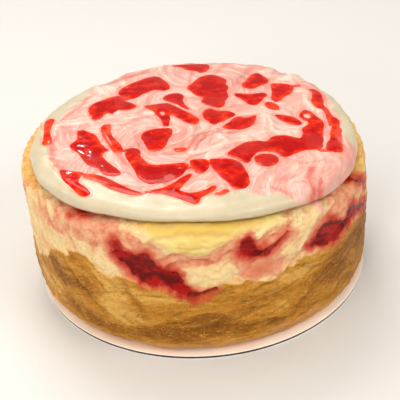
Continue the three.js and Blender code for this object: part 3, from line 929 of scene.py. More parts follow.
# %% Pink area, streaks, bare cream and films
# A streak or a film has a width, a strength and a line seen from above.
PINK_AREA = [
    (-55, 22), (-60, 8), (-62, -8), (-60, -26), (-54, -36), (-44, -45), (-32, -52), (-20, -58),
    (-8, -61), (2, -60), (10, -57), (18, -58), (30, -60.5), (42, -62), (50, -66), (58, -58),
    (68, -36), (69, -24), (62, -10), (63, 5), (62, 20), (58, 32), (52, 42), (48, 52), (42, 64),
    (34, 72), (24, 74), (12, 73), (0, 71), (-12, 69), (-22, 64), (-33, 57), (-41, 50), (-48, 38),
]
RED_STREAKS = [
    (0.8, 0.8, [(-60, 10), (-52, 22), (-50, 30), (-48, 33)]),
    (1.8, 0.7, [(-38, 48), (-35, 52), (-22, 60)]),
    (1.5, 0.7, [(-61, -6), (-62, -15), (-60, -25), (-57, -33)]),
    (1.3, 0.6, [(-32, 0), (-28, 4), (-20, 8), (-15, 10)]),
    (0.9, 0.8, [(0, -24), (2, -18), (5, -13), (12, -11), (20, -10)]),
    (0.7, 0.7, [(-12, -22), (-5, -17), (0, -14)]),
    (1.2, 0.6, [(-33, -25), (-29, -38), (-22, -51), (-10, -51)]),
    (0.9, 0.6, [(-26, -4), (-25, -16), (-20, -27), (-10, -28), (-5, -20)]),
    (2.4, 0.5, [(12, 55), (15, 62), (20, 70)]),
    (1.8, 0.5, [(22, 40), (25, 50), (30, 60)]),
    (1.0, 0.6, [(-1, 42), (0, 52), (1, 62)]),
    (1.5, 0.8, [(47, -42), (45, -50), (45.6, -57), (44, -62.4), (42.3, -67.5), (42, -71)]),
    (1.2, 0.85, [(49.5, -50), (48, -57.2), (46, -64.2), (45.5, -70)]),
    (1.3, 0.6, [(56, -53.7), (54, -62.6), (53.3, -66)]),
    (0.8, 0.7, [(42, -53), (47, -56), (50, -58)]),
    (0.7, 0.7, [(-8, -24), (-4.4, -24.4), (-3.5, -27.7)]),
    (0.8, 0.7, [(-3.5, -24), (1.7, -13), (7.8, -9), (13.2, -8.2)]),
    (0.8, 0.5, [(37.2, -35.2), (43, -38.4), (52.5, -35.6)]),
    (0.9, 0.55, [(29, -55.8), (34.4, -60.4)]),
    (1.2, 0.35, [(32.6, -50.4), (36.6, -49.7)]),
    (0.6, 0.6, [(-60, 8.5), (-47, 12.8), (-34, 15.8)]),
    (0.8, 0.6, [(-46, 4), (-52, 2), (-60, 3)]),
    (0.8, 0.6, [(-8, -40), (-2, -30), (4, -29)]),
]
BARE_STREAKS = [
    (1.5, 1, [(-62, 4.5), (-54, 5), (-45, 5)]),
    (1.3, 1, [(4, -8), (6, -2), (8, 5)]),
    (1.2, 1, [(30, -10), (31, -3), (32, 5)]),
    (1.0, 1, [(34.5, -9), (34, -2), (33, 4)]),
    (1.4, 1, [(-2, -16), (4, -8), (3, 0)]),
    (4.5, 1, [(46, 43), (53, 45)]),
    (4.0, 1, [(-41, 40), (-33, 46)]),
    (1.6, 1, [(20, -15), (34, -11), (44, -12)]),
    (1.6, 1, [(51.5, 24), (53, 16), (57, 9)]),
    (1.5, 1, [(49.3, 4.6), (50.9, 2.4)]),
    (1.6, 1, [(9.8, -11.4), (13.7, -18.3), (10.2, -24.6), (4.7, -30.4)]),
    (1.2, 1, [(-25.5, -33), (-20, -46), (-14, -52.5), (-21.8, -54.9)]),
    (0.8, 1, [(8.1, -44.4), (12.5, -54), (13.3, -57.6)]),
    (1.3, 1, [(-8, -56), (-4, -55.4), (0, -51.3), (5.8, -51.7)]),
    (1.0, 1, [(-60, 7), (-47, 11), (-34, 14)]),
]
FILMS = [
    (1.2, 1, [(47.5, 36.3), (51, 36.2)]), (1.5, 1, [(58.5, 17), (60, 8), (60.6, 0), (60.6, -5)]),
    (2.0, 1, [(62.6, -2), (62.2, -11), (60.9, -26)]), (1.1, 1, [(-5, -40.5), (-1.7, -38.7)]),
    (1.1, 1, [(4.6, -37), (6.2, -37)]), (1.6, 1, [(53, -27.5), (58, -28.2)]),
    (1.1, 1, [(-32, -23.5), (-29, -22)]), (1.6, 1, [(-34.5, 31), (-30.5, 28)]),
    (0.9, 1, [(-22.5, -57), (-18.5, -56.5)]), (1.2, 1, [(-48.5, -38.5), (-45, -40.5)]),
]
print(len(RED_STREAKS), "red streaks,", len(BARE_STREAKS), "bare ones,", len(FILMS), "films")

# %% Marks on the cream
LINE_WOBBLE = 0.5
SPILL_MARGIN = 6

cream_wobble = LINE_WOBBLE * clouds(cream_points, 5, 7, 2)


def drawn(lines, steepness=2):
    """How strongly the cream's points are marked by lines that have a width and a strength."""
    points = cream_plan + cream_wobble[:, None]
    marks = [
        strength * np.exp(-((line_distance(points, np.array(line, float)) / width) ** steepness))
        for width, strength, line in lines
    ]
    return np.max(marks, axis=0)


pink_depth = outline_depth(cream_plan, np.array(PINK_AREA, float))
pink_depth += 2.6 * clouds(cream_paths, (9, 9, 9), 131, 3)
pink_cream = soft_step(-3.5, 1.5, pink_depth)
streaks = drawn(RED_STREAKS)
bare = drawn(BARE_STREAKS)
film = drawn(FILMS, steepness=4)
spill_depth = np.full(len(cream_plan), -FAR)
for outlines in pools.values():
    close = nearby(cream_plan, outlines[0], SPILL_MARGIN)
    found = pool_depth(cream_plan[close], outlines)
    spill_depth[close] = np.maximum(spill_depth[close], found)
stain = soft_step(-1.5, 0.1, spill_depth + 0.8 * clouds(cream_paths, 5, 135, 2))
print("sauce covers", round(float((spill_depth > 0).mean()), 2), "of the cream skin")

# %% Ridges of the cream
# Each peak has a place, how far it reaches and its height. Beyond the pink, the rim has soft dents.
CREAM_PEAKS = [(49, 45, 6, 1.6), (-45, 41, 3.5, 1.4), (56, 37, 4, 1.2), (38, 59, 7, 1.1)]
ridges = folds(cream_paths, (5.5, 15, 15), 141, 2) - 0.35
cream_rise = pink_cream * ridges + 0.4 * clouds(cream_points, 19, 151, 2)
cream_rise += 0.75 * bare - 0.2 * streaks
cream_rise += 0.45 * (1 - pink_cream) * clouds(cream_points, (10, 10, 22), 153, 2)
cream_rise *= 1 - 0.8 * soft_step(-1.2, 0.6, spill_depth)
cream_rise -= 0.3 * soft_step(0.4, 1.6, spill_depth)
for x, y, reach, height in CREAM_PEAKS:
    from_peak = np.hypot(cream_plan[:, 0] - x, cream_plan[:, 1] - y)
    cream_rise += height * np.exp(-((from_peak / reach) ** 2))
cream, cream_numbers = rolled_skin("cream", raised(cream_grid, cream_rise * cream_top))
cream_values = {
    "blush": pink_cream, "streaks": streaks, "bare": bare, "stain": stain, "film": film,
    "paths": cream_paths,
}
keep_values(cream, cream_numbers, cream_values)

# %% [markdown]
# ## The strawberry sauce
#
# A pool is its outline filled, given a thickness and remeshed into small even faces. Then it is
# laid on the cream. Surface tension holds it a little higher in its middle and rounds it off at
# its edge, and its underside reaches into the cream, so there is no gap below it.

# %% Height of the cream
ABOVE_CREAM = 90

cream_tree = BVHTree.FromPolygons(
    [Vector(point) for point in cream_points],
    [
        (row * COLUMNS + c, row * COLUMNS + (c + 1) % COLUMNS,
         (row + 1) * COLUMNS + (c + 1) % COLUMNS, (row + 1) * COLUMNS + c)
        for row in range(BED_START, len(cream_grid) - 1)
        for c in range(COLUMNS)
    ],
)


def cream_height(points):
    """Height of the smooth cream below flat points, in mm."""
    heights = np.empty(len(points))
    for index, (x, y) in enumerate(points):
        hit = cream_tree.ray_cast(Vector((x, y, ABOVE_CREAM)), Vector((0, 0, -1)))[0]
        if hit is None:
            hit = cream_tree.find_nearest(Vector((x, y, CREAM_MIDDLE)))[0]
        heights[index] = hit.z
    return heights


print("the cream's middle is", round(float(cream_height([(0, 0)])[0]), 1), "mm high")

# %% Pour, smooth and lay a pool
POOL_DEPTH = 1.2
POOL_FACE = 0.4
POOL_SINK = 0.75
POOL_SMOOTHING = 3
EDGE_SWELL = 0.02
MIDDLE_SWELL = 0.26


def poured_pool(node):
    """A flat pool with the outline and the holes of a CAD pool, in small even faces."""
    outlines = pools[node]
    bm = bmesh.new()
    for outline in outlines:
        corners = [bm.verts.new((x * MM, y * MM, 0)) for x, y in outline]
        for start, end in zip(corners, corners[1:] + corners[:1]):
            bm.edges.new((start, end))
    bmesh.ops.triangle_fill(bm, use_beauty=True, use_dissolve=False, edges=bm.edges)
    upper = bmesh.ops.extrude_face_region(bm, geom=bm.faces[:])["geom"]
    lid = [part for part in upper if isinstance(part, bmesh.types.BMVert)]
    bmesh.ops.translate(bm, verts=lid, vec=(0, 0, POOL_DEPTH * MM))
    piece = put_in_scene(node.replace("sauce_", "strawberry_"), closed_mesh(node, bm))
    remesh = piece.modifiers.new("even_faces", "REMESH")
    remesh.mode = "VOXEL"
    remesh.voxel_size = POOL_FACE * MM
    evaluated = piece.evaluated_get(bpy.context.evaluated_depsgraph_get())
    piece.data = bpy.data.meshes.new_from_object(evaluated)
    piece.modifiers.clear()
    return piece


def smoothed(piece, passes):
    """Rounds a pool's edges by moving each point towards its neighbours."""
    bm = bmesh.new()
    bm.from_mesh(piece.data)
    for _ in range(passes):
        bmesh.ops.smooth_vert(
            bm, verts=bm.verts, factor=0.5, use_axis_x=True, use_axis_y=True, use_axis_z=True
        )
    bmesh.ops.recalc_face_normals(bm, faces=bm.faces)
    bm.to_mesh(piece.data)
    bm.free()


def laid_pool(piece, outlines):
    """Lays a flat pool on the cream and stores how thick the sauce is at each point."""
    flat = np.empty(len(piece.data.vertices) * 3, np.float32)
    piece.data.vertices.foreach_get("co", flat)
    flat = flat.reshape(-1, 3).astype(float) / MM
    low, high = flat[:, 2].min(), flat[:, 2].max()
    share = (flat[:, 2] - low) / (high - low)
    depth = np.maximum(pool_depth(flat[:, :2], outlines), 0)
    bed = cream_height(flat[:, :2])
    swell = EDGE_SWELL + MIDDLE_SWELL * (1 - np.exp(-depth / 1.5))
    swell += 0.07 * soft_step(0.6, 2, depth) * clouds(flat, 5.5, 161, 2)
    flat[:, 2] = bed - POOL_SINK + (swell + POOL_SINK) * share
    piece.data.vertices.foreach_set("co", (flat * MM).astype(np.float32).ravel())
    piece.data.shade_smooth()
    piece.data.update()
    # A big pool is thick in its middle, and a small drop is thin all over.
    thickness = 0.3 + 0.7 * (1 - np.exp(-depth / 2.4))
    thickness *= 0.4 + 0.6 * soft_step(1.8, 4.5, depth.max())
    keep_values(piece, slice(None), {"thickness": thickness})


# %% Pour all the pools
sauce_pieces = {}
for node in sauce_nodes:
    piece = poured_pool(node)
    smoothed(piece, POOL_SMOOTHING)
    laid_pool(piece, pools[node])
    sauce_pieces[node] = piece
print(sum(len(piece.data.polygons) for piece in sauce_pieces.values()), "faces of sauce")

# %% [markdown]
# ## Finishes
#
# Each finish starts from one Principled BSDF, and its colours, roughness and bump come from nodes.
# The nodes read the values that were stored on the skins, and noise in millimetre sizes adds what
# is finer than the mesh. A few short helpers keep the node trees readable.


# %% Tools for finishes
def paint(red, green, blue):
    """A colour as on a paint chart, 0 to 255, turned into the linear light that shaders use."""
    shares = [value / 255 for value in (red, green, blue)]
    return (*(s / 12.92 if s <= 0.04045 else ((s + 0.055) / 1.055) ** 2.4 for s in shares), 1)


def plug(tree, socket, value):
    """Links a socket to another socket, or gives it a constant."""
    if isinstance(value, bpy.types.NodeSocket):
        tree.links.new(value, socket)
    else:
        socket.default_value = value


def sum_of(tree, operation, first, second=0.5, clamp=False):
    """One sum worked out by a node, such as ADD or MULTIPLY."""
    node = tree.nodes.new("ShaderNodeMath")
    node.operation = operation
    node.use_clamp = clamp
    plug(tree, node.inputs[0], first)
    plug(tree, node.inputs[1], second)
    return node.outputs[0]


def times(tree, first, second):
    return sum_of(tree, "MULTIPLY", first, second)


def plus(tree, first, second):
    return sum_of(tree, "ADD", first, second)


def centred(tree, noise):
    """Noise from 0 to 1, moved down so that its middle lies at 0."""
    return sum_of(tree, "SUBTRACT", noise, 0.5)


def grey(value):
    return (value, value, value, 1)


def blended(tree, share, first, second):
    """A mix of two colours: the first at a share of 0, the second at 1."""
    node = tree.nodes.new("ShaderNodeMix")
    node.data_type = "RGBA"
    plug(tree, node.inputs[0], share)
    plug(tree, node.inputs[6], first)
    plug(tree, node.inputs[7], second)
    return node.outputs[2]


def layered(tree, skin, *layers):
    """Colours laid over a skin, one after the other. A layer is a share from 0 to 1 and a colour."""
    for share, colour in layers:
        skin = blended(tree, share, skin, colour)
    return skin


def ranged(tree, value, low, high, to_low=0.0, to_high=1.0):
    """A soft step from one value to another while the input goes from low to high."""
    node = tree.nodes.new("ShaderNodeMapRange")
    node.interpolation_type = "SMOOTHSTEP"
    plug(tree, node.inputs["Value"], value)
    plug(tree, node.inputs["From Min"], low)
    plug(tree, node.inputs["From Max"], high)
    plug(tree, node.inputs["To Min"], to_low)
    plug(tree, node.inputs["To Max"], to_high)
    return node.outputs["Result"]


def stored(tree, name, output="Fac"):
    """A value that was stored on the mesh."""
    node = tree.nodes.new("ShaderNodeAttribute")
    node.attribute_name = name
    return node.outputs[output]


def place(tree):
    """Where a point lies on its piece, in metres."""
    return tree.nodes.new("ShaderNodeTexCoord").outputs["Object"]


def stretched(tree, vector, scale):
    node = tree.nodes.new("ShaderNodeMapping")
    plug(tree, node.inputs["Vector"], vector)
    node.inputs["Scale"].default_value = scale
    return node.outputs["Vector"]


def grain(tree, vector, size, detail=3.0, roughness=0.55, distortion=0.0):
    """Noise with grains of about a size, in the same unit as the vector."""
    node = tree.nodes.new("ShaderNodeTexNoise")
    plug(tree, node.inputs["Vector"], vector)
    node.inputs["Scale"].default_value = 1 / size
    node.inputs["Detail"].default_value = detail
    node.inputs["Roughness"].default_value = roughness
    node.inputs["Distortion"].default_value = distortion
    return node.outputs["Fac"]


def pores(tree, vector, size):
    """Distance to the nearest of many scattered points, in shares of their spacing."""
    node = tree.nodes.new("ShaderNodeTexVoronoi")
    plug(tree, node.inputs["Vector"], vector)
    node.inputs["Scale"].default_value = 1 / size
    return node.outputs["Distance"]


def bumped(tree, height, distance, strength=1.0, normal=None):
    node = tree.nodes.new("ShaderNodeBump")
    node.inputs["Strength"].default_value = strength
    node.inputs["Distance"].default_value = distance
    plug(tree, node.inputs["Height"], height)
    if normal is not None:
        plug(tree, node.inputs["Normal"], normal)
    return node.outputs["Normal"]


def wire(tree, shader, **values):
    """Plugs values into a shader's sockets. An underscore stands for a space in a socket's name."""
    for socket, value in values.items():
        plug(tree, shader.inputs[socket.replace("_", " ")], value)


def finish_named(name, **settings):
    """A new finish with a Principled BSDF, and constant values set on the shader's own sockets."""
    material = bpy.data.materials.new(name)
    material.use_nodes = True
    shader = material.node_tree.nodes["Principled BSDF"]
    for socket, value in settings.items():
        shader.inputs[socket.replace("_", " ")].default_value = value
    return material, material.node_tree, shader


# %% [markdown]
# ### An effect that several finishes share
#
# Where one food meets another, the border is ragged: crumbs of one lie in the other. This group
# takes a soft mask and breaks its border up with grains of a given size.

# %% Ragged border
def ragged_border_group():
    group = bpy.data.node_groups.new("ragged_border", "ShaderNodeTree")
    for name, kind in (("Mask", "NodeSocketFloat"), ("Place", "NodeSocketVector"),
                       ("Grain size", "NodeSocketFloat"), ("Roughness", "NodeSocketFloat")):
        group.interface.new_socket(name, in_out="INPUT", socket_type=kind)
    group.interface.new_socket("Mask", in_out="OUTPUT", socket_type="NodeSocketFloat")
    given = group.nodes.new("NodeGroupInput").outputs
    noise = group.nodes.new("ShaderNodeTexNoise")
    noise.inputs["Detail"].default_value = 4
    noise.inputs["Roughness"].default_value = 0.6
    plug(group, noise.inputs["Vector"], given["Place"])
    plug(group, noise.inputs["Scale"], sum_of(group, "DIVIDE", 1.0, given["Grain size"]))
    push = centred(group, noise.outputs["Fac"])
    push = times(group, push, given["Roughness"])
    edge = ranged(group, plus(group, given["Mask"], push), 0.34, 0.66)
    result = group.nodes.new("NodeGroupOutput")
    plug(group, result.inputs["Mask"], edge)
    return group


ragged_border = ragged_border_group()
print("ragged border:", len(ragged_border.nodes), "nodes")


def ragged(tree, mask, size, roughness):
    """A mask with a ragged border, whose grains have a size in mm."""
    node = tree.nodes.new("ShaderNodeGroup")
    node.node_tree = ragged_border
    plug(tree, node.inputs["Mask"], mask)
    plug(tree, node.inputs["Place"], place(tree))
    node.inputs["Grain size"].default_value = size * MM
    node.inputs["Roughness"].default_value = roughness
    return node.outputs["Mask"]


# %% [markdown]
# ### Board papers
#
# The top paper is a satin pink, with faint fibres and a greasy bloom where the cake has sweated.
# The grey board shows only as a dark line at the rim.

# %% Board finishes
def paper_finish(name, colour, shadow, roughness):
    material, tree, shader = finish_named(name, Coat_Roughness=0.25)
    fibres = grain(tree, stretched(tree, place(tree), (1, 1, 0.2)), 0.7 * MM, 5, 0.7)
    cloud = grain(tree, place(tree), 24 * MM, 2)
    tone = ranged(tree, plus(tree, cloud, times(tree, fibres, 0.35)), 0.4, 0.9)
    sheen = ranged(tree, cloud, 0.3, 0.7, roughness, roughness + 0.12)
    bumps = bumped(tree, fibres, 0.03 * MM, 0.6)
    wire(tree, shader, Base_Color=blended(tree, tone, shadow, colour), Roughness=sheen, Normal=bumps)
    return material


white_paper = paper_finish("white_paper", paint(240, 236, 228), paint(222, 214, 202), 0.55)
grey_board = paper_finish("grey_board", paint(84, 72, 62), paint(48, 40, 34), 0.85)
pink_paper = paper_finish("pink_paper", paint(255, 243, 228), paint(255, 232, 214), 0.32)
print("board finishes:", white_paper.name, grey_board.name, pink_paper.name)

# %% [markdown]
# ### The baked body
#
# From the bottom up the wall is brown crust, then torn crumb that is pale yellow, stained pink near
# the berries, and under the cream a smooth lemon custard. The berries are dark and wet, and their
# juice stains the crumb round them. Crumb is matt, and light sinks into it a little, so the shader
# has some subsurface. Each colour is laid over the ones before it by a share from 0 to 1.

# %% Noise in the baked body
def baked_noise(tree):
    """The noises that the colours and the bumps of the baked body share."""
    here = place(tree)
    return SimpleNamespace(
        here=here,
        grit=grain(tree, here, 0.6 * MM, 2, 0.6),
        fine=grain(tree, here, 1.1 * MM, 5, 0.65),
        small=grain(tree, here, 3.2 * MM, 4, 0.6, 0.3),
        wide=grain(tree, stretched(tree, here, (1, 1, 1.8)), 9 * MM, 4, 0.6, 0.8),
        scratch=grain(tree, stretched(tree, here, (1, 1, 5)), 3.4 * MM, 5, 0.7, 0.5),
        holes=pores(tree, here, 1.5 * MM),
    )


# %% Crumb and custard colours
def crumb_colour(tree, noise):
    """Torn crumb: pale and stringy, with painted shade in its pits and pores, painted highlights on
    its grains, pink parts and pale folds.
    """
    stringy = plus(tree, stored(tree, "strands"), centred(tree, noise.wide))
    crumb_share = ranged(tree, stringy, -0.7, 0.2)
    crumb = blended(tree, crumb_share, paint(222, 164, 116), paint(228, 196, 142))
    # Dark specks where the fine grain sinks lowest are painted shade in the crumb's pores.
    pore_shade = ranged(tree, plus(tree, times(tree, noise.grit, 0.5), noise.fine), 0.68, 0.5)
    pink = times(tree, sum_of(tree, "SUBTRACT", 0.5, stringy), 0.35)
    pink = ragged(tree, plus(tree, stored(tree, "pink"), pink), 4.5, 0.9)
    blush_share = ranged(tree, noise.small, 0.32, 0.66)
    blush = blended(tree, blush_share, paint(208, 108, 82), paint(226, 162, 128))
    pale = ragged(tree, stored(tree, "pale"), 2.5, 0.5)
    return layered(
        tree,
        crumb,
        (ranged(tree, stringy, 0.1, 0.8), paint(234, 212, 160)),
        (ranged(tree, noise.small, 0.5, 0.8), paint(234, 214, 168)),
        (times(tree, pore_shade, 0.85), paint(194, 138, 76)),
        # painted shade in the crumb's pits
        (times(tree, stored(tree, "pit_shade"), 0.45), paint(204, 146, 80)),
        # painted highlights on the crumb's raised grains, where the fine grain is highest
        (ranged(tree, noise.fine, 0.54, 0.68, 0, 0.6), paint(242, 226, 186)),
        (times(tree, pink, 0.8), blush),
        (times(tree, pale, 0.85), paint(230, 202, 146)),
    )


def custard_colour(tree, noise):
    """Smooth lemon custard, deeper yellow just under the cream."""
    yolk_share = ranged(tree, noise.wide, 0.38, 0.62)
    yolk = blended(tree, yolk_share, paint(218, 188, 104), paint(227, 205, 130))
    parts = tree.nodes.new("ShaderNodeSeparateXYZ")
    plug(tree, parts.inputs[0], noise.here)
    under_cream = ranged(tree, parts.outputs["Z"], 61.5 * MM, 65 * MM)
    return blended(tree, under_cream, yolk, paint(212, 176, 80))


# %% Crust and ledge colours
def crust_colour(tree, noise):
    """Brown crust with scratches, painted highlights and shade on its grains, a paler foot with
    painted bounce light, and hairlines in painted shade.
    """
    browning = plus(tree, stored(tree, "browning"), centred(tree, noise.wide))
    tan_share = ranged(tree, browning, -0.7, -0.05)
    # The foot is painted paler: partly the crust's own lighter colour, partly painted bounce light
    # from the pink board.
    paler_foot_and_light = ragged(tree, stored(tree, "foot"), 4, 0.4)
    paler_foot_and_light = times(tree, paler_foot_and_light, ranged(tree, noise.wide, 0.35, 0.6, 0.15, 0.7))
    return layered(
        tree,
        blended(tree, tan_share, paint(218, 166, 80), paint(188, 126, 36)),
        (ranged(tree, browning, -0.05, 0.8), paint(140, 82, 8)),
        (ranged(tree, noise.scratch, 0.52, 0.7, 0, 0.6), paint(128, 74, 12)),
        (ranged(tree, noise.scratch, 0.48, 0.3, 0, 0.6), paint(214, 166, 88)),
        # painted highlights on raised grains and painted shade in low ones, following the bump's
        # fine grain
        (ranged(tree, noise.fine, 0.56, 0.7, 0, 0.55), paint(224, 178, 100)),
        (ranged(tree, noise.fine, 0.44, 0.3, 0, 0.6), paint(112, 62, 10)),
        # bright specks are painted glints on the crust's grit
        (ranged(tree, noise.grit, 0.62, 0.75, 0, 0.7), paint(236, 198, 130)),
        (paler_foot_and_light, paint(208, 152, 92)),
        # painted shade in the hairline grooves
        (times(tree, stored(tree, "shaded_hairline"), 0.8), paint(96, 48, 10)),
    )


def ledge_colour(tree, noise):
    """Golden flakes with darker specks."""
    golden_share = ranged(tree, noise.small, 0.3, 0.7)
    golden = blended(tree, golden_share, paint(212, 146, 62), paint(230, 190, 104))
    return blended(tree, ranged(tree, noise.grit, 0.42, 0.28, 0, 0.5), golden, paint(168, 104, 40))


def flesh_colour(tree, noise):
    """Dark baked berry with pale specks that are painted highlights."""
    flesh = blended(tree, ranged(tree, noise.wide, 0.4, 0.62), paint(98, 2, 0), paint(164, 12, 4))
    # the pale specks are painted highlights on the wet berry
    return blended(tree, ranged(tree, noise.fine, 0.62, 0.72, 0, 0.5), flesh, paint(214, 70, 58))


# %% Baked body finish
def baked_finish():
    material, tree, shader = finish_named(
        "baked_cheese", Subsurface_Weight=0.12, Subsurface_Scale=2.0 * MM, Coat_Roughness=0.08,
        Specular_IOR_Level=0.12,
    )
    noise = baked_noise(tree)
    spread = centred(tree, noise.small)
    custard = stored(tree, "custard")
    crust = ragged(tree, stored(tree, "crust"), 3.0, 0.75)
    halo = ranged(tree, plus(tree, stored(tree, "crust"), spread), -0.05, 0.75, 0, 0.75)
    ledge = ragged(tree, stored(tree, "ledge"), 3.0, 0.7)
    golden_share = times(tree, ledge, sum_of(tree, "SUBTRACT", 0.8, custard))
    juice = plus(tree, stored(tree, "juice"), times(tree, spread, 0.9))
    berry = plus(tree, stored(tree, "berry"), times(tree, spread, 1.2))
    skin = layered(
        tree,
        crumb_colour(tree, noise),
        (custard, custard_colour(tree, noise)),
        (stored(tree, "drip"), paint(222, 164, 150)),
        (halo, paint(220, 168, 96)),
        (crust, crust_colour(tree, noise)),
        (sum_of(tree, "MAXIMUM", golden_share, 0.0), ledge_colour(tree, noise)),
        (ranged(tree, juice, 0.15, 0.75, 0, 0.75), paint(200, 76, 52)),
        (ranged(tree, juice, 0.6, 1.05, 0, 0.9), paint(176, 30, 18)),
        (ranged(tree, berry, 0.4, 0.95), flesh_colour(tree, noise)),
        # painted shade in the creases
        (times(tree, stored(tree, "crease_shade"), 0.4),
         blended(tree, crust, paint(172, 84, 52), paint(92, 44, 10))),
    )

    # Juice and custard are smoother than crust, and crumb is the roughest.
    wet = ranged(tree, juice, 0.5, 1.0)
    sheen = layered(
        tree,
        ranged(tree, noise.fine, 0.3, 0.7, 0.55, 0.78),
        (crust, ranged(tree, noise.small, 0.3, 0.7, 0.34, 0.55)),
        (custard, grey(0.38)),
        (wet, grey(0.22)),
    )

    # The bump is what is finer than the mesh: grains and scratches, and pores in open crumb.
    matt = sum_of(tree, "SUBTRACT", 1.0, sum_of(tree, "MAXIMUM", wet, custard), clamp=True)
    open_crumb = times(tree, ranged(tree, noise.holes, 0.05, 0.4), matt)
    relief = plus(tree, times(tree, noise.fine, 0.7), times(tree, noise.small, 0.7))
    relief = plus(tree, relief, times(tree, noise.scratch, crust))
    relief = plus(tree, relief, times(tree, noise.grit, 0.4))
    smooth_parts = sum_of(tree, "SUBTRACT", 1.0, times(tree, custard, 0.7))
    bumps = bumped(tree, times(tree, relief, smooth_parts), 0.9 * MM, 0.6)
    bumps = bumped(tree, open_crumb, 0.14 * MM, 0.35, bumps)
    coat = times(tree, wet, 0.06)
    wire(tree, shader, Base_Color=skin, Roughness=sheen, Coat_Weight=coat, Normal=bumps)
    return material


baked_cheese = baked_finish()
print("baked finish:", len(baked_cheese.node_tree.nodes), "nodes")

# %% [markdown]
# ### The cream
#
# Clean cream is ivory with a soft shine. Where it was stirred it is pink, with paler and redder
# streaks along the stored paths. It is stained orange-red round each pool, and the films of sauce
# on it are nearly as glossy as the pools. The stored paths are in mm, so noise along them is too.

# %% Marbling
def marbling_group():
    group = bpy.data.node_groups.new("marbling", "ShaderNodeTree")
    group.interface.new_socket("Paths", in_out="INPUT", socket_type="NodeSocketVector")
    group.interface.new_socket("Ribbons", in_out="OUTPUT", socket_type="NodeSocketFloat")
    group.interface.new_socket("Threads", in_out="OUTPUT", socket_type="NodeSocketFloat")
    paths = group.nodes.new("NodeGroupInput").outputs["Paths"]
    ribbons = grain(group, stretched(group, paths, (1, 0.4, 1)), 8.5, 3, 0.5, 0.7)
    threads = grain(group, stretched(group, paths, (1, 0.25, 1)), 4.5, 4, 0.6, 1.2)
    result = group.nodes.new("NodeGroupOutput")
    plug(group, result.inputs["Ribbons"], ranged(group, ribbons, 0.36, 0.64))
    line = sum_of(group, "ABSOLUTE", centred(group, threads))
    plug(group, result.inputs["Threads"], ranged(group, line, 0.085, 0.0))
    return group


marbling = marbling_group()
print("marbling:", len(marbling.nodes), "nodes")


# %% Cream finish
def cream_finish():
    material, tree, shader = finish_named(
        "cream", Subsurface_Weight=0.25, Subsurface_Scale=2.5 * MM, Coat_Weight=0.15,
        Coat_Roughness=0.2,
    )
    swirl = tree.nodes.new("ShaderNodeGroup")
    swirl.node_tree = marbling
    plug(tree, swirl.inputs["Paths"], stored(tree, "paths", "Vector"))
    ribbons = swirl.outputs["Ribbons"]
    threads = swirl.outputs["Threads"]
    wide = grain(tree, place(tree), 12 * MM, 3)

    ivory_share = ranged(tree, wide, 0.35, 0.65)
    ivory = blended(tree, ivory_share, paint(194, 179, 147), paint(202, 188, 158))
    blush = stored(tree, "blush")
    white_share = times(tree, ranged(tree, ribbons, 0.75, 1.0), blush)
    uneven = grain(tree, place(tree), 2.2 * MM, 4, 0.65)
    uneven = ranged(tree, uneven, 0.3, 0.55, 0.45, 1)
    film = ragged(tree, stored(tree, "film"), 2.0, 0.5)
    skin = layered(
        tree,
        ivory,
        (ragged(tree, blush, 5.0, 0.5),
         blended(tree, ribbons, paint(213, 154, 138), paint(219, 181, 164))),
        (times(tree, times(tree, threads, blush), 0.42), paint(218, 116, 100)),
        (times(tree, white_share, 0.3), paint(218, 192, 177)),
        (times(tree, stored(tree, "bare"), 0.68), paint(216, 198, 178)),
        (times(tree, stored(tree, "streaks"), uneven), paint(206, 74, 58)),
        (times(tree, ragged(tree, stored(tree, "stain"), 1.8, 0.6), 0.4), paint(228, 86, 58)),
        (film, paint(212, 52, 22)),
    )
    sheen = blended(tree, film, ranged(tree, ribbons, 0, 1, 0.3, 0.42), grey(0.12))
    relief = times(tree, sum_of(tree, "SUBTRACT", ribbons, threads), blush)
    bumps = bumped(tree, relief, 0.14 * MM, 0.7)
    wire(tree, shader, Base_Color=skin, Roughness=sheen, Normal=bumps)
    return material


cream_look = cream_finish()
print("cream finish:", len(cream_look.node_tree.nodes), "nodes")

# %% [markdown]
# ### The sauce
#
# The sauce is a clear red jelly. Thin at its edge it glows orange-red on the cream, and the thicker
# it is the darker and bluer its red. It is the glossiest thing on the cake.

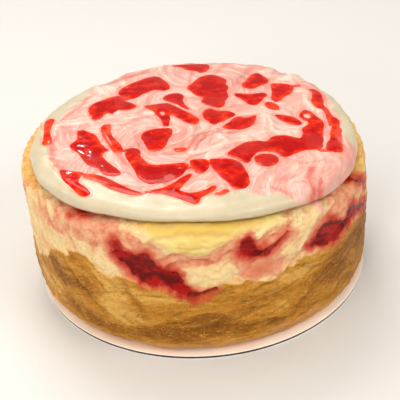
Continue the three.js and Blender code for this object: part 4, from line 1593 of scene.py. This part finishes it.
# %% Sauce finish
def sauce_finish():
    material, tree, shader = finish_named(
        "strawberry_sauce", Coat_Weight=0.04, Coat_Roughness=0.03, Specular_IOR_Level=0.1,
        Subsurface_Weight=0.1, Subsurface_Scale=1.5 * MM,
    )
    here = place(tree)
    small = grain(tree, here, 5 * MM, 3, 0.55, 0.4)
    fine = grain(tree, here, 1.2 * MM, 3, 0.6)
    wide = grain(tree, here, 14 * MM, 2, 0.5, 0.8)
    uneven = times(tree, centred(tree, small), 2.4)
    thickness = plus(tree, stored(tree, "thickness"), uneven)
    ramp = tree.nodes.new("ShaderNodeValToRGB")
    plug(tree, ramp.inputs[0], thickness)
    tones = ramp.color_ramp.elements
    tones[0].color = paint(222, 82, 44)
    tones[1].color = paint(164, 0, 0)
    tones.new(0.3).color = paint(220, 56, 16)
    tones.new(0.65).color = paint(196, 16, 2)
    veil = ranged(tree, plus(tree, wide, times(tree, fine, 0.12)), 0.52, 0.7, 0, 0.7)
    skin = blended(tree, veil, ramp.outputs["Color"], paint(178, 40, 34))
    sheen = ranged(tree, fine, 0.3, 0.8, 0.05, 0.14)
    bumps = bumped(tree, fine, 0.04 * MM, 0.4, bumped(tree, small, 0.15 * MM, 0.3))
    wire(tree, shader, Base_Color=skin, Roughness=sheen, Normal=bumps)
    return material


strawberry_sauce = sauce_finish()
print("sauce finish:", len(strawberry_sauce.node_tree.nodes), "nodes")

# %% [markdown]
# ## Table top, and every piece on its CAD body
#
# The table top is plain and pale, and it isn't part of the cake. Every piece rides on the one CAD
# body and stands for its own CAD node.

# %% Table top
def table_finish():
    material, tree, shader = finish_named("table_top", Roughness=0.6)
    cloud = grain(tree, place(tree), 300 * MM, 2)
    wire(tree, shader, Base_Color=blended(tree, cloud, paint(208, 205, 200), paint(216, 213, 208)))
    return material


TABLE_REACH = 3000
TABLE_DROP = 0.05

table_bm = bmesh.new()
bmesh.ops.create_grid(table_bm, x_segments=8, y_segments=8, size=TABLE_REACH * MM)
bmesh.ops.translate(table_bm, verts=table_bm.verts, vec=(0, 0, -TABLE_DROP * MM))
table_mesh = bpy.data.meshes.new("table_top")
table_bm.to_mesh(table_mesh)
table_bm.free()
floor = put_in_scene("table_top", table_mesh)
floor.data.materials.append(table_finish())
print("table top", 2 * TABLE_REACH, "mm wide")


# %% Pieces, nodes and slots
def belongs(piece, node, material):
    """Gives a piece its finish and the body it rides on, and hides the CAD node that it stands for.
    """
    piece.data.materials.clear()
    piece.data.materials.append(material)
    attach(piece, "root")
    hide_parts(node)


belongs(base_ply, "board_base_paper", white_paper)
belongs(core_ply, "board_core", grey_board)
belongs(top_ply, "board_top_paper", pink_paper)
belongs(body, "baked_cheesecake", baked_cheese)
belongs(cream, "cream_topping", cream_look)
for node, piece in sauce_pieces.items():
    belongs(piece, node, strawberry_sauce)
print("the board, the body, the cream and", len(sauce_pieces), "pools stand for their CAD nodes")
